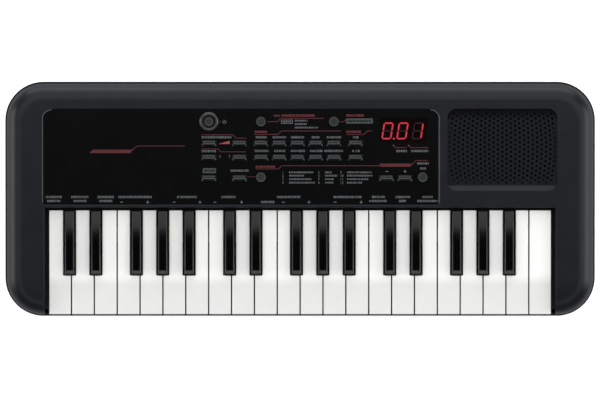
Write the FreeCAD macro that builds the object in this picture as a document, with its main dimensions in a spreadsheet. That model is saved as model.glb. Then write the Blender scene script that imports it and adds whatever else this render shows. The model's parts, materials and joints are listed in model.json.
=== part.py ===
import FreeCAD, Part
import math
import os
import re
from FreeCAD import Placement, Rotation, Vector

# A 37-key mini keyboard. X runs along the keys, +Y points to the back, +Z up.
# The origin is on the table under the middle of the case. The top of the case
# is a sloping deck: sizes called deck places are measured in the deck's own
# frame, whose Y runs up the slope and whose Z is the deck's normal.

# Every size in millimetres, or degrees for the angles.
SIZES = {
    # Case shells
    "case_width": 506.0,
    "case_depth": 201.0,
    "corner_radius": 33.0,
    "shoulder_radius": 15.0,
    "shell_wall": 2.4,
    "base_edge_radius": 6.0,
    "parting_height": 27.0,
    "seam_height": 0.8,
    "seam_depth": 0.4,
    "deck_height": 48.95,
    "deck_tilt": 2.5,
    "edge_softening": 0.6,
    # Key well
    "well_width": 438.4,
    "well_back": -7.6,
    "well_lip_depth": 5.2,
    "well_wall": 2.4,
    # Control panel inset
    "panel_left": -220.4,
    "panel_right": 118.4,
    "panel_front": -5.15,
    "panel_back": 77.2,
    "panel_corner_radius": 8.0,
    "panel_front_radius": 1.5,
    "panel_thickness": 2.0,
    "panel_sink": 0.4,
    "panel_gap": 0.2,
    "panel_ledge": 4.0,
    "window_margin": 7.8,
    "window_reach": 6.2,
    "deck_pad": 2.2,
    # Speaker grille and speaker
    "grille_left": 126.3,
    "grille_right": 220.4,
    "grille_front": 6.9,
    "grille_back": 77.4,
    "grille_corner_radius": 8.0,
    "grille_front_radius": 4.0,
    "grille_sink": 1.8,
    "grille_ramp": 4.4,
    "grille_thickness": 1.4,
    "grille_gap": 0.15,
    "hole_diameter": 1.6,
    "hole_column_pitch": 3.75,
    "hole_row_pitch": 4.06,
    "hole_margin": 2.0,
    "speaker_diameter": 66.0,
    "speaker_mouth": 57.0,
    "speaker_flange": 1.6,
    "speaker_cone_depth": 12.0,
    "speaker_basket_end": 42.0,
    "magnet_diameter": 36.0,
    "magnet_height": 9.0,
    "cap_dome_diameter": 20.0,
    # Buttons
    "cap_top_length": 10.1,
    "cap_top_width": 3.2,
    "cap_base_length": 12.8,
    "cap_front_slope": 1.8,
    "cap_back_slope": 0.25,
    "cap_rise": 2.0,
    "cap_clearance": 0.3,
    "cap_flange": 0.8,
    "cap_softening": 0.45,
    "button_travel": 1.0,
    "round_cap_diameter": 8.5,
    "power_cap_diameter": 7.6,
    "power_well_diameter": 10.4,
    "power_ring_diameter": 16.4,
    "power_ring_rise": 1.1,
    "switch_width": 6.0,
    "switch_gap": 0.3,
    "side_column_left": -78.2,
    "side_column_right": -52.0,
    "voice_first": -33.6,
    "voice_pitch": 15.63,
    "phrase_column": 47.4,
    "minus_column": 74.1,
    "plus_column": 89.8,
    "tap_column": 105.1,
    "round_row": 66.3,
    "upper_row": 48.4,
    "middle_row": 36.2,
    "lower_row": 18.55,
    # Display
    "display_left": 68.6,
    "display_right": 108.7,
    "display_front": 49.2,
    "display_back": 69.0,
    "display_sink": 0.5,
    "display_gap": 0.2,
    # Circuit boards
    "board_thickness": 1.6,
    "panel_board_depth": 7.0,
    "panel_board_left": -100.0,
    "panel_board_right": 117.4,
    "panel_board_front": 11.5,
    "panel_board_back": 75.0,
    "pin_diameter": 2.4,
    "pin_clearance": 0.1,
    "boss_diameter": 5.4,
    # Keys
    "key_pitch": 19.62,
    "key_gap": 1.15,
    "white_sink": 6.5,
    "white_front": -99.7,
    "white_depth": 15.0,
    "key_top": 2.0,
    "key_skirt": 1.6,
    "key_tail": 7.5,
    "black_slot": 10.94,
    "black_width": 8.8,
    "black_top_width": 6.9,
    "black_front": -65.6,
    "black_top_front": -61.6,
    "black_back": -10.9,
    "black_rise": 7.5,
    "black_chin": 1.2,
    "notch_front": -66.2,
    "key_softening": 0.7,
    "pivot_place": 4.0,
    "pivot_depth": 14.0,
    "rail_diameter": 4.0,
    "rail_clearance": 0.05,
    "clip_width": 3.5,
    "key_press_angle": 3.4,
    "key_stop_gap": 0.88,
    "plunger_place": -32.0,
    "plunger_width": 4.0,
    "plunger_depth": 19.0,
    # Key frame and key contacts
    "frame_plate": 2.2,
    "frame_front": -96.2,
    "frame_back": 9.5,
    "saddle_width": 3.0,
    "saddle_depth": 2.4,
    "guide_thickness": 1.6,
    "guide_play": 0.4,
    "white_guide_place": -90.0,
    "white_guide_depth": 15.6,
    "black_guide_place": -58.0,
    "black_guide_depth": 14.0,
    "contact_board_front": -46.0,
    "contact_board_back": -16.0,
    "rubber_sheet": 1.0,
    "rubber_dome_diameter": 6.4,
    "rubber_dome_top": 4.2,
    "rubber_dome_gap": 0.3,
    # Lower case fittings
    "foot_height": 2.5,
    "foot_diameter": 12.0,
    "foot_seat": 0.6,
    "foot_x": 214.0,
    "foot_y": 78.0,
    "screw_shank": 3.0,
    "screw_length": 14.0,
    "screw_head": 5.6,
    "screw_head_height": 2.0,
    "screw_seat_height": 14.0,
    "screw_clearance": 0.3,
    "thread_clearance": 0.02,
    "post_diameter": 9.0,
    "side_screw_x": 237.0,
    "back_screw_x": 96.0,
    "front_screw_y": -74.0,
    "middle_screw_y": 2.0,
    "corner_screw_y": 72.0,
    "back_screw_y": 90.0,
    "frame_post_x": 110.0,
    "frame_post_y": -80.0,
    # Battery compartment
    "cell_diameter": 14.2,
    "cell_length": 49.2,
    "cell_nub_diameter": 5.4,
    "cell_nub": 1.0,
    "cell_gap": 0.4,
    "cell_centre_y": 46.0,
    "contact_width": 9.0,
    "contact_thickness": 0.4,
    "contact_spring": 1.5,
    "bay_wall": 1.6,
    "cover_thickness": 1.5,
    "cover_ledge": 3.0,
    "cover_gap": 0.3,
    "tongue_length": 2.0,
    "tongue_width": 9.0,
    "tongue_spread": 20.0,
    "tongue_lip": 0.7,
    "tongue_rise": 0.3,
    "finger_notch_width": 16.0,
    "finger_notch_depth": 0.8,
    # Main board and sockets
    "main_board_left": -206.0,
    "main_board_right": -106.0,
    "main_board_front": 36.0,
    "main_board_back": 96.0,
    "main_board_height": 12.0,
    "usb_x": -126.0,
    "usb_width": 7.5,
    "usb_height": 2.6,
    "usb_length": 5.6,
    "usb_shell": 0.3,
    "usb_tongue": 0.6,
    "usb_tongue_setback": 1.2,
    "usb_opening_margin": 0.5,
    "phones_x": -160.0,
    "phones_bore": 3.6,
    "phones_bore_depth": 14.0,
    "phones_end_wall": 1.2,
    "phones_width": 9.0,
    "phones_height": 7.0,
    "phones_opening": 8.0,
    "socket_setback": 0.3,
    "chip_size": 12.0,
    "chip_height": 1.4,
    "capacitor_diameter": 6.3,
    "capacitor_height": 7.7,
    # One overrun serves every cut
    "overrun": 2.0,
}

WHITE_NAMES = ["c", "d", "e", "f", "g", "a", "b"]
BLACK_NAMES = ["cs", "ds", "fs", "gs", "as"]
# Where each black key's centre lies along the octave
BLACK_CENTRE_SHARES = [0.1315, 0.2960, 0.5490, 0.7133, 0.8781]
# The black key, if any, on the left and on the right of each white key
LEFT_BLACK = [None, 0, 1, None, 2, 3, 4]
RIGHT_BLACK = [0, 1, None, 2, 3, 4, None]
OCTAVES = 3
FIRST_OCTAVE = 3
# How much the outer columns of grille holes draw in towards their ends
HOLE_BOW_SHARE = 0.085
CELL_COUNT = 4
VOICE_COLUMNS = 5
# Lengths that differ by less than this are the same
TOLERANCE = 1e-3

doc = FreeCAD.newDocument("mini_keyboard")
nodes = {}


def make_sheet():
    """Write every size into one spreadsheet, each cell with its alias."""
    sheet = doc.addObject("Spreadsheet::Sheet", "Sizes")
    for row, (name, value) in enumerate(SIZES.items(), start=1):
        sheet.set(f"A{row}", name)
        sheet.set(f"B{row}", str(value))
        sheet.setAlias(f"B{row}", name)
    doc.recompute()
    return sheet


sheet = make_sheet()


def linked(formula):
    """A formula with each named size pointing at its cell in the sheet."""
    return re.sub(
        r"[A-Za-z_]\w*",
        lambda word: "Sizes." + word.group(0) if word.group(0) in SIZES else word.group(0),
        formula,
    )


def size(formula):
    """The value of a formula in named sizes, angles in degrees."""
    return float(sheet.evalExpression(linked(formula)))


def bind(item, prop, formula):
    """Tie a property to a formula in the sheet's sizes."""
    item.setExpression(prop, linked(formula))


def put(item, x, y, z, on_deck):
    """Place an item at a point of the world frame, or of the deck's frame."""
    if not on_deck:
        bind(item, "Placement.Base.x", x)
        bind(item, "Placement.Base.y", y)
        bind(item, "Placement.Base.z", z)
        return
    item.Placement = Placement(Vector(0, 0, 0), Rotation(Vector(1, 0, 0), size("deck_tilt")))
    bind(item, "Placement.Base.x", x)
    bind(item, "Placement.Base.y", f"({y}) * cos(deck_tilt) - ({z}) * sin(deck_tilt)")
    bind(item, "Placement.Base.z", f"deck_height + ({y}) * sin(deck_tilt) + ({z}) * cos(deck_tilt)")
    bind(item, "Placement.Rotation.Angle", "deck_tilt")


def deck_placement(x, y, z):
    """The placement of a copy whose own origin goes to a deck place."""
    tilt = size("deck_tilt")
    seat = Placement(Vector(0, 0, size("deck_height")), Rotation(Vector(1, 0, 0), tilt))
    return seat.multiply(Placement(Vector(x, y, z), Rotation()))


def block(name, west, east, south, north, low, high, on_deck=True):
    """A box between six faces."""
    solid = doc.addObject("Part::Box", name)
    bind(solid, "Length", f"({east}) - ({west})")
    bind(solid, "Width", f"({north}) - ({south})")
    bind(solid, "Height", f"({high}) - ({low})")
    put(solid, west, south, low, on_deck)
    return solid


def drum(name, x, y, low, high, diameter, on_deck=True):
    """A cylinder that stands on the deck's normal, or upright."""
    solid = doc.addObject("Part::Cylinder", name)
    bind(solid, "Radius", f"({diameter}) / 2")
    bind(solid, "Height", f"({high}) - ({low})")
    put(solid, x, y, low, on_deck)
    return solid


def rod(name, axis, x, y, z, length, diameter):
    """A cylinder that lies along X or Y from its starting point."""
    solid = doc.addObject("Part::Cylinder", name)
    turn = Rotation(Vector(0, 1, 0), 90) if axis == "x" else Rotation(Vector(1, 0, 0), -90)
    solid.Placement = Placement(Vector(0, 0, 0), turn)
    bind(solid, "Radius", f"({diameter}) / 2")
    bind(solid, "Height", length)
    put(solid, x, y, z, on_deck=False)
    return solid


def fuse(name, solids):
    """Join solids into one."""
    result = doc.addObject("Part::MultiFuse", name)
    result.Shapes = solids
    return result


def cut(name, base, tools):
    """Take tools out of a base."""
    tool = tools[0]
    if len(tools) > 1:
        tool = doc.addObject("Part::MultiFuse", name + "_tools")
        tool.Shapes = tools
    result = doc.addObject("Part::Cut", name)
    result.Base = base
    result.Tool = tool
    result.Refine = False
    return result


def common(name, first, second):
    """Keep what two solids share."""
    result = doc.addObject("Part::Common", name)
    result.Base = first
    result.Tool = second
    return result


def rounded(name, base, radius, wanted):
    """Round the edges of a joined solid that the test picks."""
    doc.recompute()
    amount = size(radius)
    result = doc.addObject("Part::Fillet", name)
    result.Base = base
    result.Edges = [(number, amount, amount)
                    for number, edge in enumerate(base.Shape.Edges, start=1) if wanted(edge)]
    return result


def is_deck_rim(edge):
    """Whether an edge lies in the deck's plane round the key well or round
    the control panel."""
    to_deck = deck_placement(0, 0, 0).inverse()
    span = edge.LastParameter - edge.FirstParameter
    points = [to_deck.multVec(edge.valueAt(edge.FirstParameter + span * share))
              for share in (0, 0.5, 1)]
    if max(abs(point.z) for point in points) > TOLERANCE:
        return False
    x, y = points[1].x, points[1].y
    by_well = abs(x) < size("well_width / 2") + TOLERANCE and y < size("well_back") + TOLERANCE
    by_panel = (size("panel_left") - TOLERANCE < x < size("panel_right") + TOLERANCE
                and size("panel_front") - TOLERANCE < y < size("panel_back") + TOLERANCE)
    return by_well or by_panel


def keep(name, item):
    """Name a finished sub-part and list it as a node."""
    item.Label = name
    nodes[name] = item
    return item


def group(name, copies):
    """List loose copies of small solids as one node."""
    item = doc.addObject("Part::Feature", name)
    item.Shape = Part.makeCompound(copies)
    return keep(name, item)


def copied(form, placement):
    """A copy of a finished form at another place."""
    shape = form.Shape.copy()
    shape.Placement = placement.multiply(shape.Placement)
    return shape


class Moulding:
    """A body whose features are blocks, wedges, drums, cuts and rounded edges."""

    def __init__(self, name, on_deck=False):
        self.name = name
        self.count = 0
        self.body = doc.addObject("PartDesign::Body", name)
        if on_deck:
            put(self.body, "0", "0", "0", on_deck=True)

    def feature(self, kind):
        """Start the next feature of the body."""
        self.count += 1
        return self.body.newObject("PartDesign::" + kind, f"{self.name}_{kind}_{self.count}")

    def block(self, west, east, south, north, low, high, remove=False):
        """Add or remove a box."""
        item = self.feature("SubtractiveBox" if remove else "AdditiveBox")
        bind(item, "Length", f"({east}) - ({west})")
        bind(item, "Width", f"({north}) - ({south})")
        bind(item, "Height", f"({high}) - ({low})")
        put(item, west, south, low, on_deck=False)
        return item

    def drum(self, x, y, low, high, diameter, remove=False):
        """Add or remove an upright cylinder."""
        item = self.feature("SubtractiveCylinder" if remove else "AdditiveCylinder")
        bind(item, "Radius", f"({diameter}) / 2")
        bind(item, "Height", f"({high}) - ({low})")
        put(item, x, y, low, on_deck=False)
        return item

    def cone(self, x, y, low, high, low_diameter, high_diameter, remove=False):
        """Add or remove an upright cone."""
        item = self.feature("SubtractiveCone" if remove else "AdditiveCone")
        bind(item, "Radius1", f"({low_diameter}) / 2")
        bind(item, "Radius2", f"({high_diameter}) / 2")
        bind(item, "Height", f"({high}) - ({low})")
        put(item, x, y, low, on_deck=False)
        return item

    def rod(self, axis, x, y, z, length, diameter, remove=False):
        """Add or remove a cylinder that lies along X or Y."""
        item = self.feature("SubtractiveCylinder" if remove else "AdditiveCylinder")
        turn = Rotation(Vector(0, 1, 0), 90) if axis == "x" else Rotation(Vector(1, 0, 0), -90)
        item.Placement = Placement(Vector(0, 0, 0), turn)
        bind(item, "Radius", f"({diameter}) / 2")
        bind(item, "Height", length)
        put(item, x, y, z, on_deck=False)
        return item

    def ring(self, x, y, z, middle_diameter, section_diameter):
        """Add a round ring that lies flat."""
        item = self.feature("AdditiveTorus")
        bind(item, "Radius1", f"({middle_diameter}) / 2")
        bind(item, "Radius2", f"({section_diameter}) / 2")
        put(item, x, y, z, on_deck=False)
        return item

    def taper(self, base, top, low, high):
        """Add a block whose top rectangle is smaller than its base."""
        item = self.feature("AdditiveWedge")
        item.Placement = Placement(Vector(0, 0, 0), Rotation(Vector(1, 0, 0), 90))
        west, east, south, north = base
        top_west, top_east, top_south, top_north = top
        bind(item, "Ymin", low)
        bind(item, "Ymax", high)
        bind(item, "Xmin", west)
        bind(item, "Xmax", east)
        bind(item, "Zmin", f"0 - ({north})")
        bind(item, "Zmax", f"0 - ({south})")
        bind(item, "X2min", top_west)
        bind(item, "X2max", top_east)
        bind(item, "Z2min", f"0 - ({top_north})")
        bind(item, "Z2max", f"0 - ({top_south})")
        return item

    def soften(self, radius, wanted):
        """Round the edges that the test picks."""
        self.body.recompute(True)
        tip = self.body.Tip
        picked = []
        for number, edge in enumerate(tip.Shape.Edges, start=1):
            if wanted(edge):
                picked.append(f"Edge{number}")
        item = self.body.newObject("PartDesign::Fillet", f"{self.name}_round_{self.count}")
        self.count += 1
        item.Base = (tip, picked)
        bind(item, "Radius", radius)
        return item


def middle_of(edge):
    """The point halfway along an edge."""
    return edge.valueAt((edge.FirstParameter + edge.LastParameter) / 2)


def runs_along(edge, direction):
    """Whether an edge is straight and lies along a direction."""
    if edge.Curve.TypeId != "Part::GeomLine":
        return False
    return abs(edge.tangentAt(edge.FirstParameter).dot(direction)) > 1 - TOLERANCE


def same(first, second):
    """Whether two lengths agree."""
    return abs(first - second) < TOLERANCE


UPRIGHT = Vector(0, 0, 1)
ACROSS = Vector(1, 0, 0)


# The two shells

def case_form(name, inset, low):
    """The case's outline: an upright wall, four round corners and a soft
    shoulder round a sloping deck, drawn in by an inset."""
    form = Moulding(name)
    wedge = form.feature("AdditiveWedge")
    half_width = f"(case_width / 2 - ({inset}))"
    half_depth = f"(case_depth / 2 - ({inset}))"
    bind(wedge, "Xmin", f"0 - {half_width}")
    bind(wedge, "Xmax", half_width)
    bind(wedge, "X2min", f"0 - {half_width}")
    bind(wedge, "X2max", half_width)
    bind(wedge, "Ymin", f"0 - {half_depth}")
    bind(wedge, "Ymax", half_depth)
    bind(wedge, "Zmin", low)
    bind(wedge, "Z2min", low)
    sunk = f"({inset}) / cos(deck_tilt)"
    bind(wedge, "Zmax", f"deck_height - {half_depth} * tan(deck_tilt) - {sunk}")
    bind(wedge, "Z2max", f"deck_height + {half_depth} * tan(deck_tilt) - {sunk}")
    form.soften(f"corner_radius - ({inset})", lambda edge: runs_along(edge, UPRIGHT))
    floor = size(low)
    form.soften(
        f"shoulder_radius - ({inset})",
        lambda edge: not runs_along(edge, UPRIGHT) and middle_of(edge).z > floor + size("overrun"),
    )
    return form.body


def tub_form(name, inset):
    """The lower shell's outline up to the seam, drawn in by an inset."""
    form = Moulding(name)
    half_width = f"(case_width / 2 - ({inset}))"
    half_depth = f"(case_depth / 2 - ({inset}))"
    form.block(f"0 - {half_width}", half_width, f"0 - {half_depth}", half_depth,
               f"foot_height + ({inset})", "parting_height")
    form.soften(f"corner_radius - ({inset})", lambda edge: runs_along(edge, UPRIGHT))
    floor = size(f"foot_height + ({inset})")
    form.soften(f"base_edge_radius - ({inset})", lambda edge: same(middle_of(edge).z, floor))
    return form.body


WELL_HALF = "(well_width / 2)"
FRAME_DEPTH = ("(white_sink + white_depth + (pivot_place - white_front) * sin(key_press_angle)"
               " + key_stop_gap)")
PANEL_FLOOR = "(0 - panel_sink - panel_thickness)"
GRILLE_FLOOR = "(0 - grille_sink - grille_thickness)"
PAD_BOTTOM = "(0 - shell_wall - deck_pad)"
GRILLE_X = "((grille_left + grille_right) / 2)"
GRILLE_Y = "((grille_front + grille_back) / 2)"
SPEAKER_PIN_RING = "((speaker_diameter + speaker_mouth) / 4)"

SCREW_PLACES = [
    ("0 - side_screw_x", "front_screw_y"),
    ("side_screw_x", "front_screw_y"),
    ("0 - side_screw_x", "middle_screw_y"),
    ("side_screw_x", "middle_screw_y"),
    ("0 - side_screw_x", "corner_screw_y"),
    ("side_screw_x", "corner_screw_y"),
    ("0 - back_screw_x", "back_screw_y"),
    ("back_screw_x", "back_screw_y"),
]

# The windows under the panel, for the side, voice and right-hand buttons
WINDOW_SPANS = [
    ("side_column_left - window_margin", "side_column_right + window_margin"),
    ("voice_first - window_margin", "phrase_column + window_margin"),
    ("minus_column - window_margin",
     "tap_column + round_cap_diameter / 2 + cap_flange + cap_clearance * 2"),
]
PANEL_PIN_COLUMNS = [
    "panel_board_left + boss_diameter / 2",
    "(side_column_right + voice_first) / 2",
    "(phrase_column + minus_column) / 2",
    "panel_board_right - boss_diameter / 2",
]
PANEL_PIN_PLACES = [(x, "(middle_row + lower_row) / 2") for x in PANEL_PIN_COLUMNS]

SPEAKER_PIN_PLACES = []
for x_side in ("+", "-"):
    for y_side in ("+", "-"):
        SPEAKER_PIN_PLACES.append((f"{GRILLE_X} {x_side} {SPEAKER_PIN_RING} * cos(45)",
                                   f"{GRILLE_Y} {y_side} {SPEAKER_PIN_RING} * sin(45)"))


def make_grille_pocket():
    """The dished recess over the grille, its front side a long ramp."""
    recess = Moulding("grille_recess", on_deck=True)
    recess.block("grille_left", "grille_right", "grille_front", "grille_back",
                 "0 - grille_sink", "overrun")
    recess.soften("grille_corner_radius", lambda edge: runs_along(edge, UPRIGHT))
    ramp = doc.addObject("Part::Wedge", "grille_ramp_form")
    bind(ramp, "Xmin", "grille_left - overrun")
    bind(ramp, "Xmax", "grille_right + overrun")
    bind(ramp, "X2min", "grille_left - overrun")
    bind(ramp, "X2max", "grille_right + overrun")
    bind(ramp, "Ymin", "0")
    bind(ramp, "Ymax", "grille_ramp")
    bind(ramp, "Zmin", "0 - overrun")
    bind(ramp, "Zmax", "grille_sink")
    bind(ramp, "Z2min", "0 - overrun")
    bind(ramp, "Z2max", "0")
    put(ramp, "0", "grille_front", "0 - grille_sink", on_deck=True)
    return cut("grille_dish", recess.body, [ramp])


def grille_seat(name, gap, low, high):
    """The grille plate's outline between two levels, grown by a gap."""
    seat = Moulding(name, on_deck=True)
    seat.block(f"grille_left + grille_gap - ({gap})", f"grille_right - grille_gap + ({gap})",
               f"grille_front + grille_ramp + grille_gap - ({gap})",
               f"grille_back - grille_gap + ({gap})", low, high)
    middle = size(GRILLE_Y)
    seat.soften("grille_corner_radius",
                lambda edge: runs_along(edge, UPRIGHT) and middle_of(edge).y > middle)
    seat.soften("grille_front_radius",
                lambda edge: runs_along(edge, UPRIGHT) and middle_of(edge).y < middle
                and middle_of(edge).z < size("overrun")
                and same(abs(middle_of(edge).x - size(GRILLE_X)),
                         size(f"(grille_right - grille_left) / 2 - grille_gap + ({gap})")))
    return seat.body


def panel_outline(name, gap, low, high):
    """The control panel's outline between two levels, grown by a gap."""
    outline = Moulding(name, on_deck=True)
    outline.block(f"panel_left + panel_gap - ({gap})", f"panel_right - panel_gap + ({gap})",
                  f"panel_front + panel_gap - ({gap})", f"panel_back - panel_gap + ({gap})",
                  low, high)
    middle = size("(panel_front + panel_back) / 2")
    outline.soften("panel_corner_radius",
                   lambda edge: runs_along(edge, UPRIGHT) and middle_of(edge).y > middle
                   and middle_of(edge).y > size("panel_back - panel_gap") - size("overrun"))
    outline.soften("panel_front_radius",
                   lambda edge: runs_along(edge, UPRIGHT)
                   and same(middle_of(edge).y, size(f"panel_front + panel_gap - ({gap})")))
    return outline


def make_upper_case():
    """The top shell: deck, shoulders, cheeks beside the keys and the walls,
    bosses and pins that hang from its inside."""
    outer = case_form("case_outside", "0", "foot_height")
    inner = case_form("case_inside", "shell_wall", "0 - overrun")
    below = block("below_seam", "0 - case_width", "case_width", "0 - case_depth", "case_depth",
                  "0 - case_width", "parting_height", on_deck=False)
    shell = cut("top_shell", outer, [inner, below])

    inside = []
    for side in ("-", ""):
        west = f"0 - {WELL_HALF} - well_wall" if side else WELL_HALF
        east = f"0 - {WELL_HALF}" if side else f"{WELL_HALF} + well_wall"
        inside.append(block(f"well_side_{len(inside)}", west, east,
                            "0 - case_depth / 2 - overrun", "well_back + well_wall",
                            f"0 - {FRAME_DEPTH}", "overrun"))
    inside.append(block("well_lip", f"0 - {WELL_HALF} - well_wall", f"{WELL_HALF} + well_wall",
                        "well_back", "panel_front + panel_ledge", "0 - well_lip_depth", "overrun"))
    inside.append(block("deck_pad_form", "panel_left - shell_wall", "grille_right + shell_wall",
                        "panel_front", "panel_back + shell_wall", PAD_BOTTOM,
                        "0 - shell_wall / 2"))
    for number, (x, y) in enumerate(PANEL_PIN_PLACES):
        inside.append(drum(f"panel_boss_{number}", x, y, "0 - panel_board_depth", PANEL_FLOOR,
                           "boss_diameter"))
        inside.append(drum(f"panel_pin_{number}", x, y,
                           "0 - panel_board_depth - board_thickness - panel_sink", PANEL_FLOOR,
                           "pin_diameter"))
    for number, (x, y) in enumerate(SPEAKER_PIN_PLACES):
        inside.append(drum(f"speaker_pin_{number}", x, y,
                           f"{PAD_BOTTOM} - speaker_flange - panel_sink",
                           GRILLE_FLOOR, "pin_diameter"))
    for number, (x, y) in enumerate(SCREW_PLACES):
        inside.append(drum(f"top_boss_{number}", x, y, "parting_height",
                           "deck_height + case_depth / 2", "post_diameter", on_deck=False))
    middle = case_form("case_middle", "shell_wall / 2", "foot_height")
    trimmed = common("inside_fittings", middle, fuse("inside_fittings_all", inside))
    whole = fuse("top_shell_whole", [shell, trimmed])

    tools = [
        block("well_space", f"0 - {WELL_HALF}", WELL_HALF, "0 - case_depth", "well_back",
              "0 - deck_height", "overrun + shoulder_radius"),
        panel_outline("panel_recess", "panel_gap", PANEL_FLOOR, "overrun").body,
        make_grille_pocket(),
        grille_seat("grille_recess_floor", "grille_gap", GRILLE_FLOOR, "0 - grille_sink / 2"),
        drum("speaker_opening", GRILLE_X, GRILLE_Y, f"{PAD_BOTTOM} - overrun", "0",
             "speaker_mouth"),
    ]
    for number, (west, east) in enumerate(WINDOW_SPANS):
        tools.append(block(f"panel_window_{number}", west, east,
                           "lower_row - window_reach", "round_row + window_reach",
                           f"{PAD_BOTTOM} - overrun", "0"))
    for number, (x, y) in enumerate(SCREW_PLACES):
        tools.append(drum(
            f"pilot_hole_{number}", x, y, "parting_height - overrun",
            "screw_seat_height + screw_length + screw_clearance",
            "screw_shank + thread_clearance * 2", on_deck=False))
    sharp = cut("upper_case_sharp", whole, tools)
    return keep("upper_case", rounded("upper_case", sharp, "edge_softening", is_deck_rim))


# Battery compartment, worked out from the cells that it holds

CELL_PITCH = "(cell_diameter + cell_gap)"
BAY_HALF = f"({CELL_COUNT} * {CELL_PITCH} / 2 + cell_gap / 2)"
CELL_SPAN = "(cell_length + cell_nub + contact_thickness * 2 + contact_spring)"
BAY_FRONT = f"(cell_centre_y - {CELL_SPAN} / 2)"
BAY_BACK = f"(cell_centre_y + {CELL_SPAN} / 2)"
COVER_TOP = "(foot_height + cover_thickness)"
CELL_HEIGHT = f"({COVER_TOP} + cell_gap + cell_diameter / 2)"
BAY_ROOF = f"({CELL_HEIGHT} + cell_diameter / 2 + cell_gap)"
COVER_HALF = f"({BAY_HALF} + cover_ledge)"
COVER_FRONT = f"({BAY_FRONT} - cover_ledge)"
COVER_BACK = f"({BAY_BACK} + cover_ledge)"
TUB_FLOOR = "(foot_height + shell_wall)"

MAIN_PIN_PLACES = []
for pin_x in ("main_board_left + boss_diameter / 2", "main_board_right - boss_diameter / 2"):
    for pin_y in ("main_board_front + boss_diameter / 2", "main_board_back - boss_diameter * 2"):
        MAIN_PIN_PLACES.append((pin_x, pin_y))

FRONT_RAIL = ("(deck_height - case_depth / 2 * tan(deck_tilt)"
              f" - {FRAME_DEPTH} / cos(deck_tilt) - panel_gap)")
PHONES_HEIGHT = "(main_board_height + board_thickness + phones_height / 2)"
USB_HEIGHT = "(main_board_height + board_thickness + usb_height / 2)"
INNER_BACK = "(case_depth / 2 - shell_wall)"
FOOT_PLACES = [(x, y) for x in ("0 - foot_x", "foot_x") for y in ("0 - foot_y", "foot_y")]


def make_lower_case():
    """The bottom shell: a tub with screw posts, frame posts, board posts, a
    battery compartment and the holes for the sockets."""
    outer = tub_form("tub_outside", "0")
    inner = tub_form("tub_inside", "shell_wall")
    shell = cut("tub_shell", outer, [inner])

    inside = []
    for number, (x, y) in enumerate(SCREW_PLACES):
        inside.append(drum(f"screw_post_{number}", x, y, TUB_FLOOR + " - shell_wall / 2",
                           "parting_height", "post_diameter", on_deck=False))
    for side in ("0 - frame_post_x", "0", "frame_post_x"):
        top = ("deck_height + (frame_post_y - post_diameter / 2) * tan(deck_tilt)"
               f" - ({FRAME_DEPTH} + frame_plate) / cos(deck_tilt)")
        inside.append(drum(f"frame_post_{len(inside)}", side, "frame_post_y",
                           TUB_FLOOR + " - shell_wall / 2", top, "post_diameter", on_deck=False))
    inside.append(block("bay_form", f"0 - {BAY_HALF} - bay_wall", f"{BAY_HALF} + bay_wall",
                        f"{BAY_FRONT} - bay_wall", f"{BAY_BACK} + bay_wall",
                        TUB_FLOOR + " - shell_wall / 2", f"{BAY_ROOF} + bay_wall", on_deck=False))
    for number, (x, y) in enumerate(MAIN_PIN_PLACES):
        inside.append(drum(f"board_post_{number}", x, y, TUB_FLOOR + " - shell_wall / 2",
                           "main_board_height", "boss_diameter", on_deck=False))
        inside.append(drum(f"board_pin_{number}", x, y, TUB_FLOOR,
                           "main_board_height + board_thickness * 2", "pin_diameter",
                           on_deck=False))
    whole = fuse("tub_whole", [shell, fuse("tub_fittings", inside)])

    seam_band = block("seam_band", "0 - case_width", "case_width", "0 - case_depth", "case_depth",
                      "parting_height - seam_height", "parting_height + overrun", on_deck=False)
    tools = [
        cut("seam_groove", seam_band, [tub_form("seam_core", "seam_depth")]),
        block("bay_space", f"0 - {BAY_HALF}", BAY_HALF, BAY_FRONT, BAY_BACK,
              "0", BAY_ROOF, on_deck=False),
        block("cover_recess", f"0 - {COVER_HALF} - cover_gap", f"{COVER_HALF} + cover_gap",
              f"{COVER_FRONT} - cover_gap", f"{COVER_BACK} + cover_gap",
              "0", f"{COVER_TOP} + tongue_rise / 2", on_deck=False),
        block("front_opening", f"0 - {WELL_HALF} - well_wall - panel_gap",
              f"{WELL_HALF} + well_wall + panel_gap",
              "0 - case_depth", f"0 - case_depth / 2 + shell_wall + overrun",
              FRONT_RAIL, "case_depth", on_deck=False),
        rod("phones_hole", "y", "phones_x", f"{INNER_BACK} - overrun", PHONES_HEIGHT,
            "shell_wall + overrun * 2", "phones_opening"),
        block("usb_hole", "usb_x - usb_width / 2 - usb_opening_margin",
              "usb_x + usb_width / 2 + usb_opening_margin",
              f"{INNER_BACK} - overrun", "case_depth / 2 + overrun",
              f"{USB_HEIGHT} - usb_height / 2 - usb_opening_margin",
              f"{USB_HEIGHT} + usb_height / 2 + usb_opening_margin", on_deck=False),
    ]
    for number, (x, y) in enumerate(SCREW_PLACES):
        tools.append(drum(f"screw_hole_{number}", x, y, "0", "parting_height + overrun",
                          "screw_shank + screw_clearance * 2", on_deck=False))
        tools.append(drum(f"screw_pocket_{number}", x, y, "0", "screw_seat_height",
                          "screw_head + screw_clearance * 2", on_deck=False))
    for number, side in enumerate(("0 - tongue_spread", "tongue_spread")):
        tools.append(block(
            f"tongue_slot_{number}",
            f"{side} - tongue_width / 2 - cover_gap", f"{side} + tongue_width / 2 + cover_gap",
            f"{COVER_FRONT} - cover_gap - tongue_length - cover_gap",
            f"{COVER_FRONT} + tongue_length / 2 + cover_gap",
            "foot_height + tongue_lip", f"{TUB_FLOOR} + overrun", on_deck=False))
    for number, (x, y) in enumerate(FOOT_PLACES):
        tools.append(drum(f"foot_seat_{number}", x, y, "0", "foot_height + foot_seat",
                          "foot_diameter", on_deck=False))
    return keep("lower_case", cut("lower_case", whole, tools))


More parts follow.
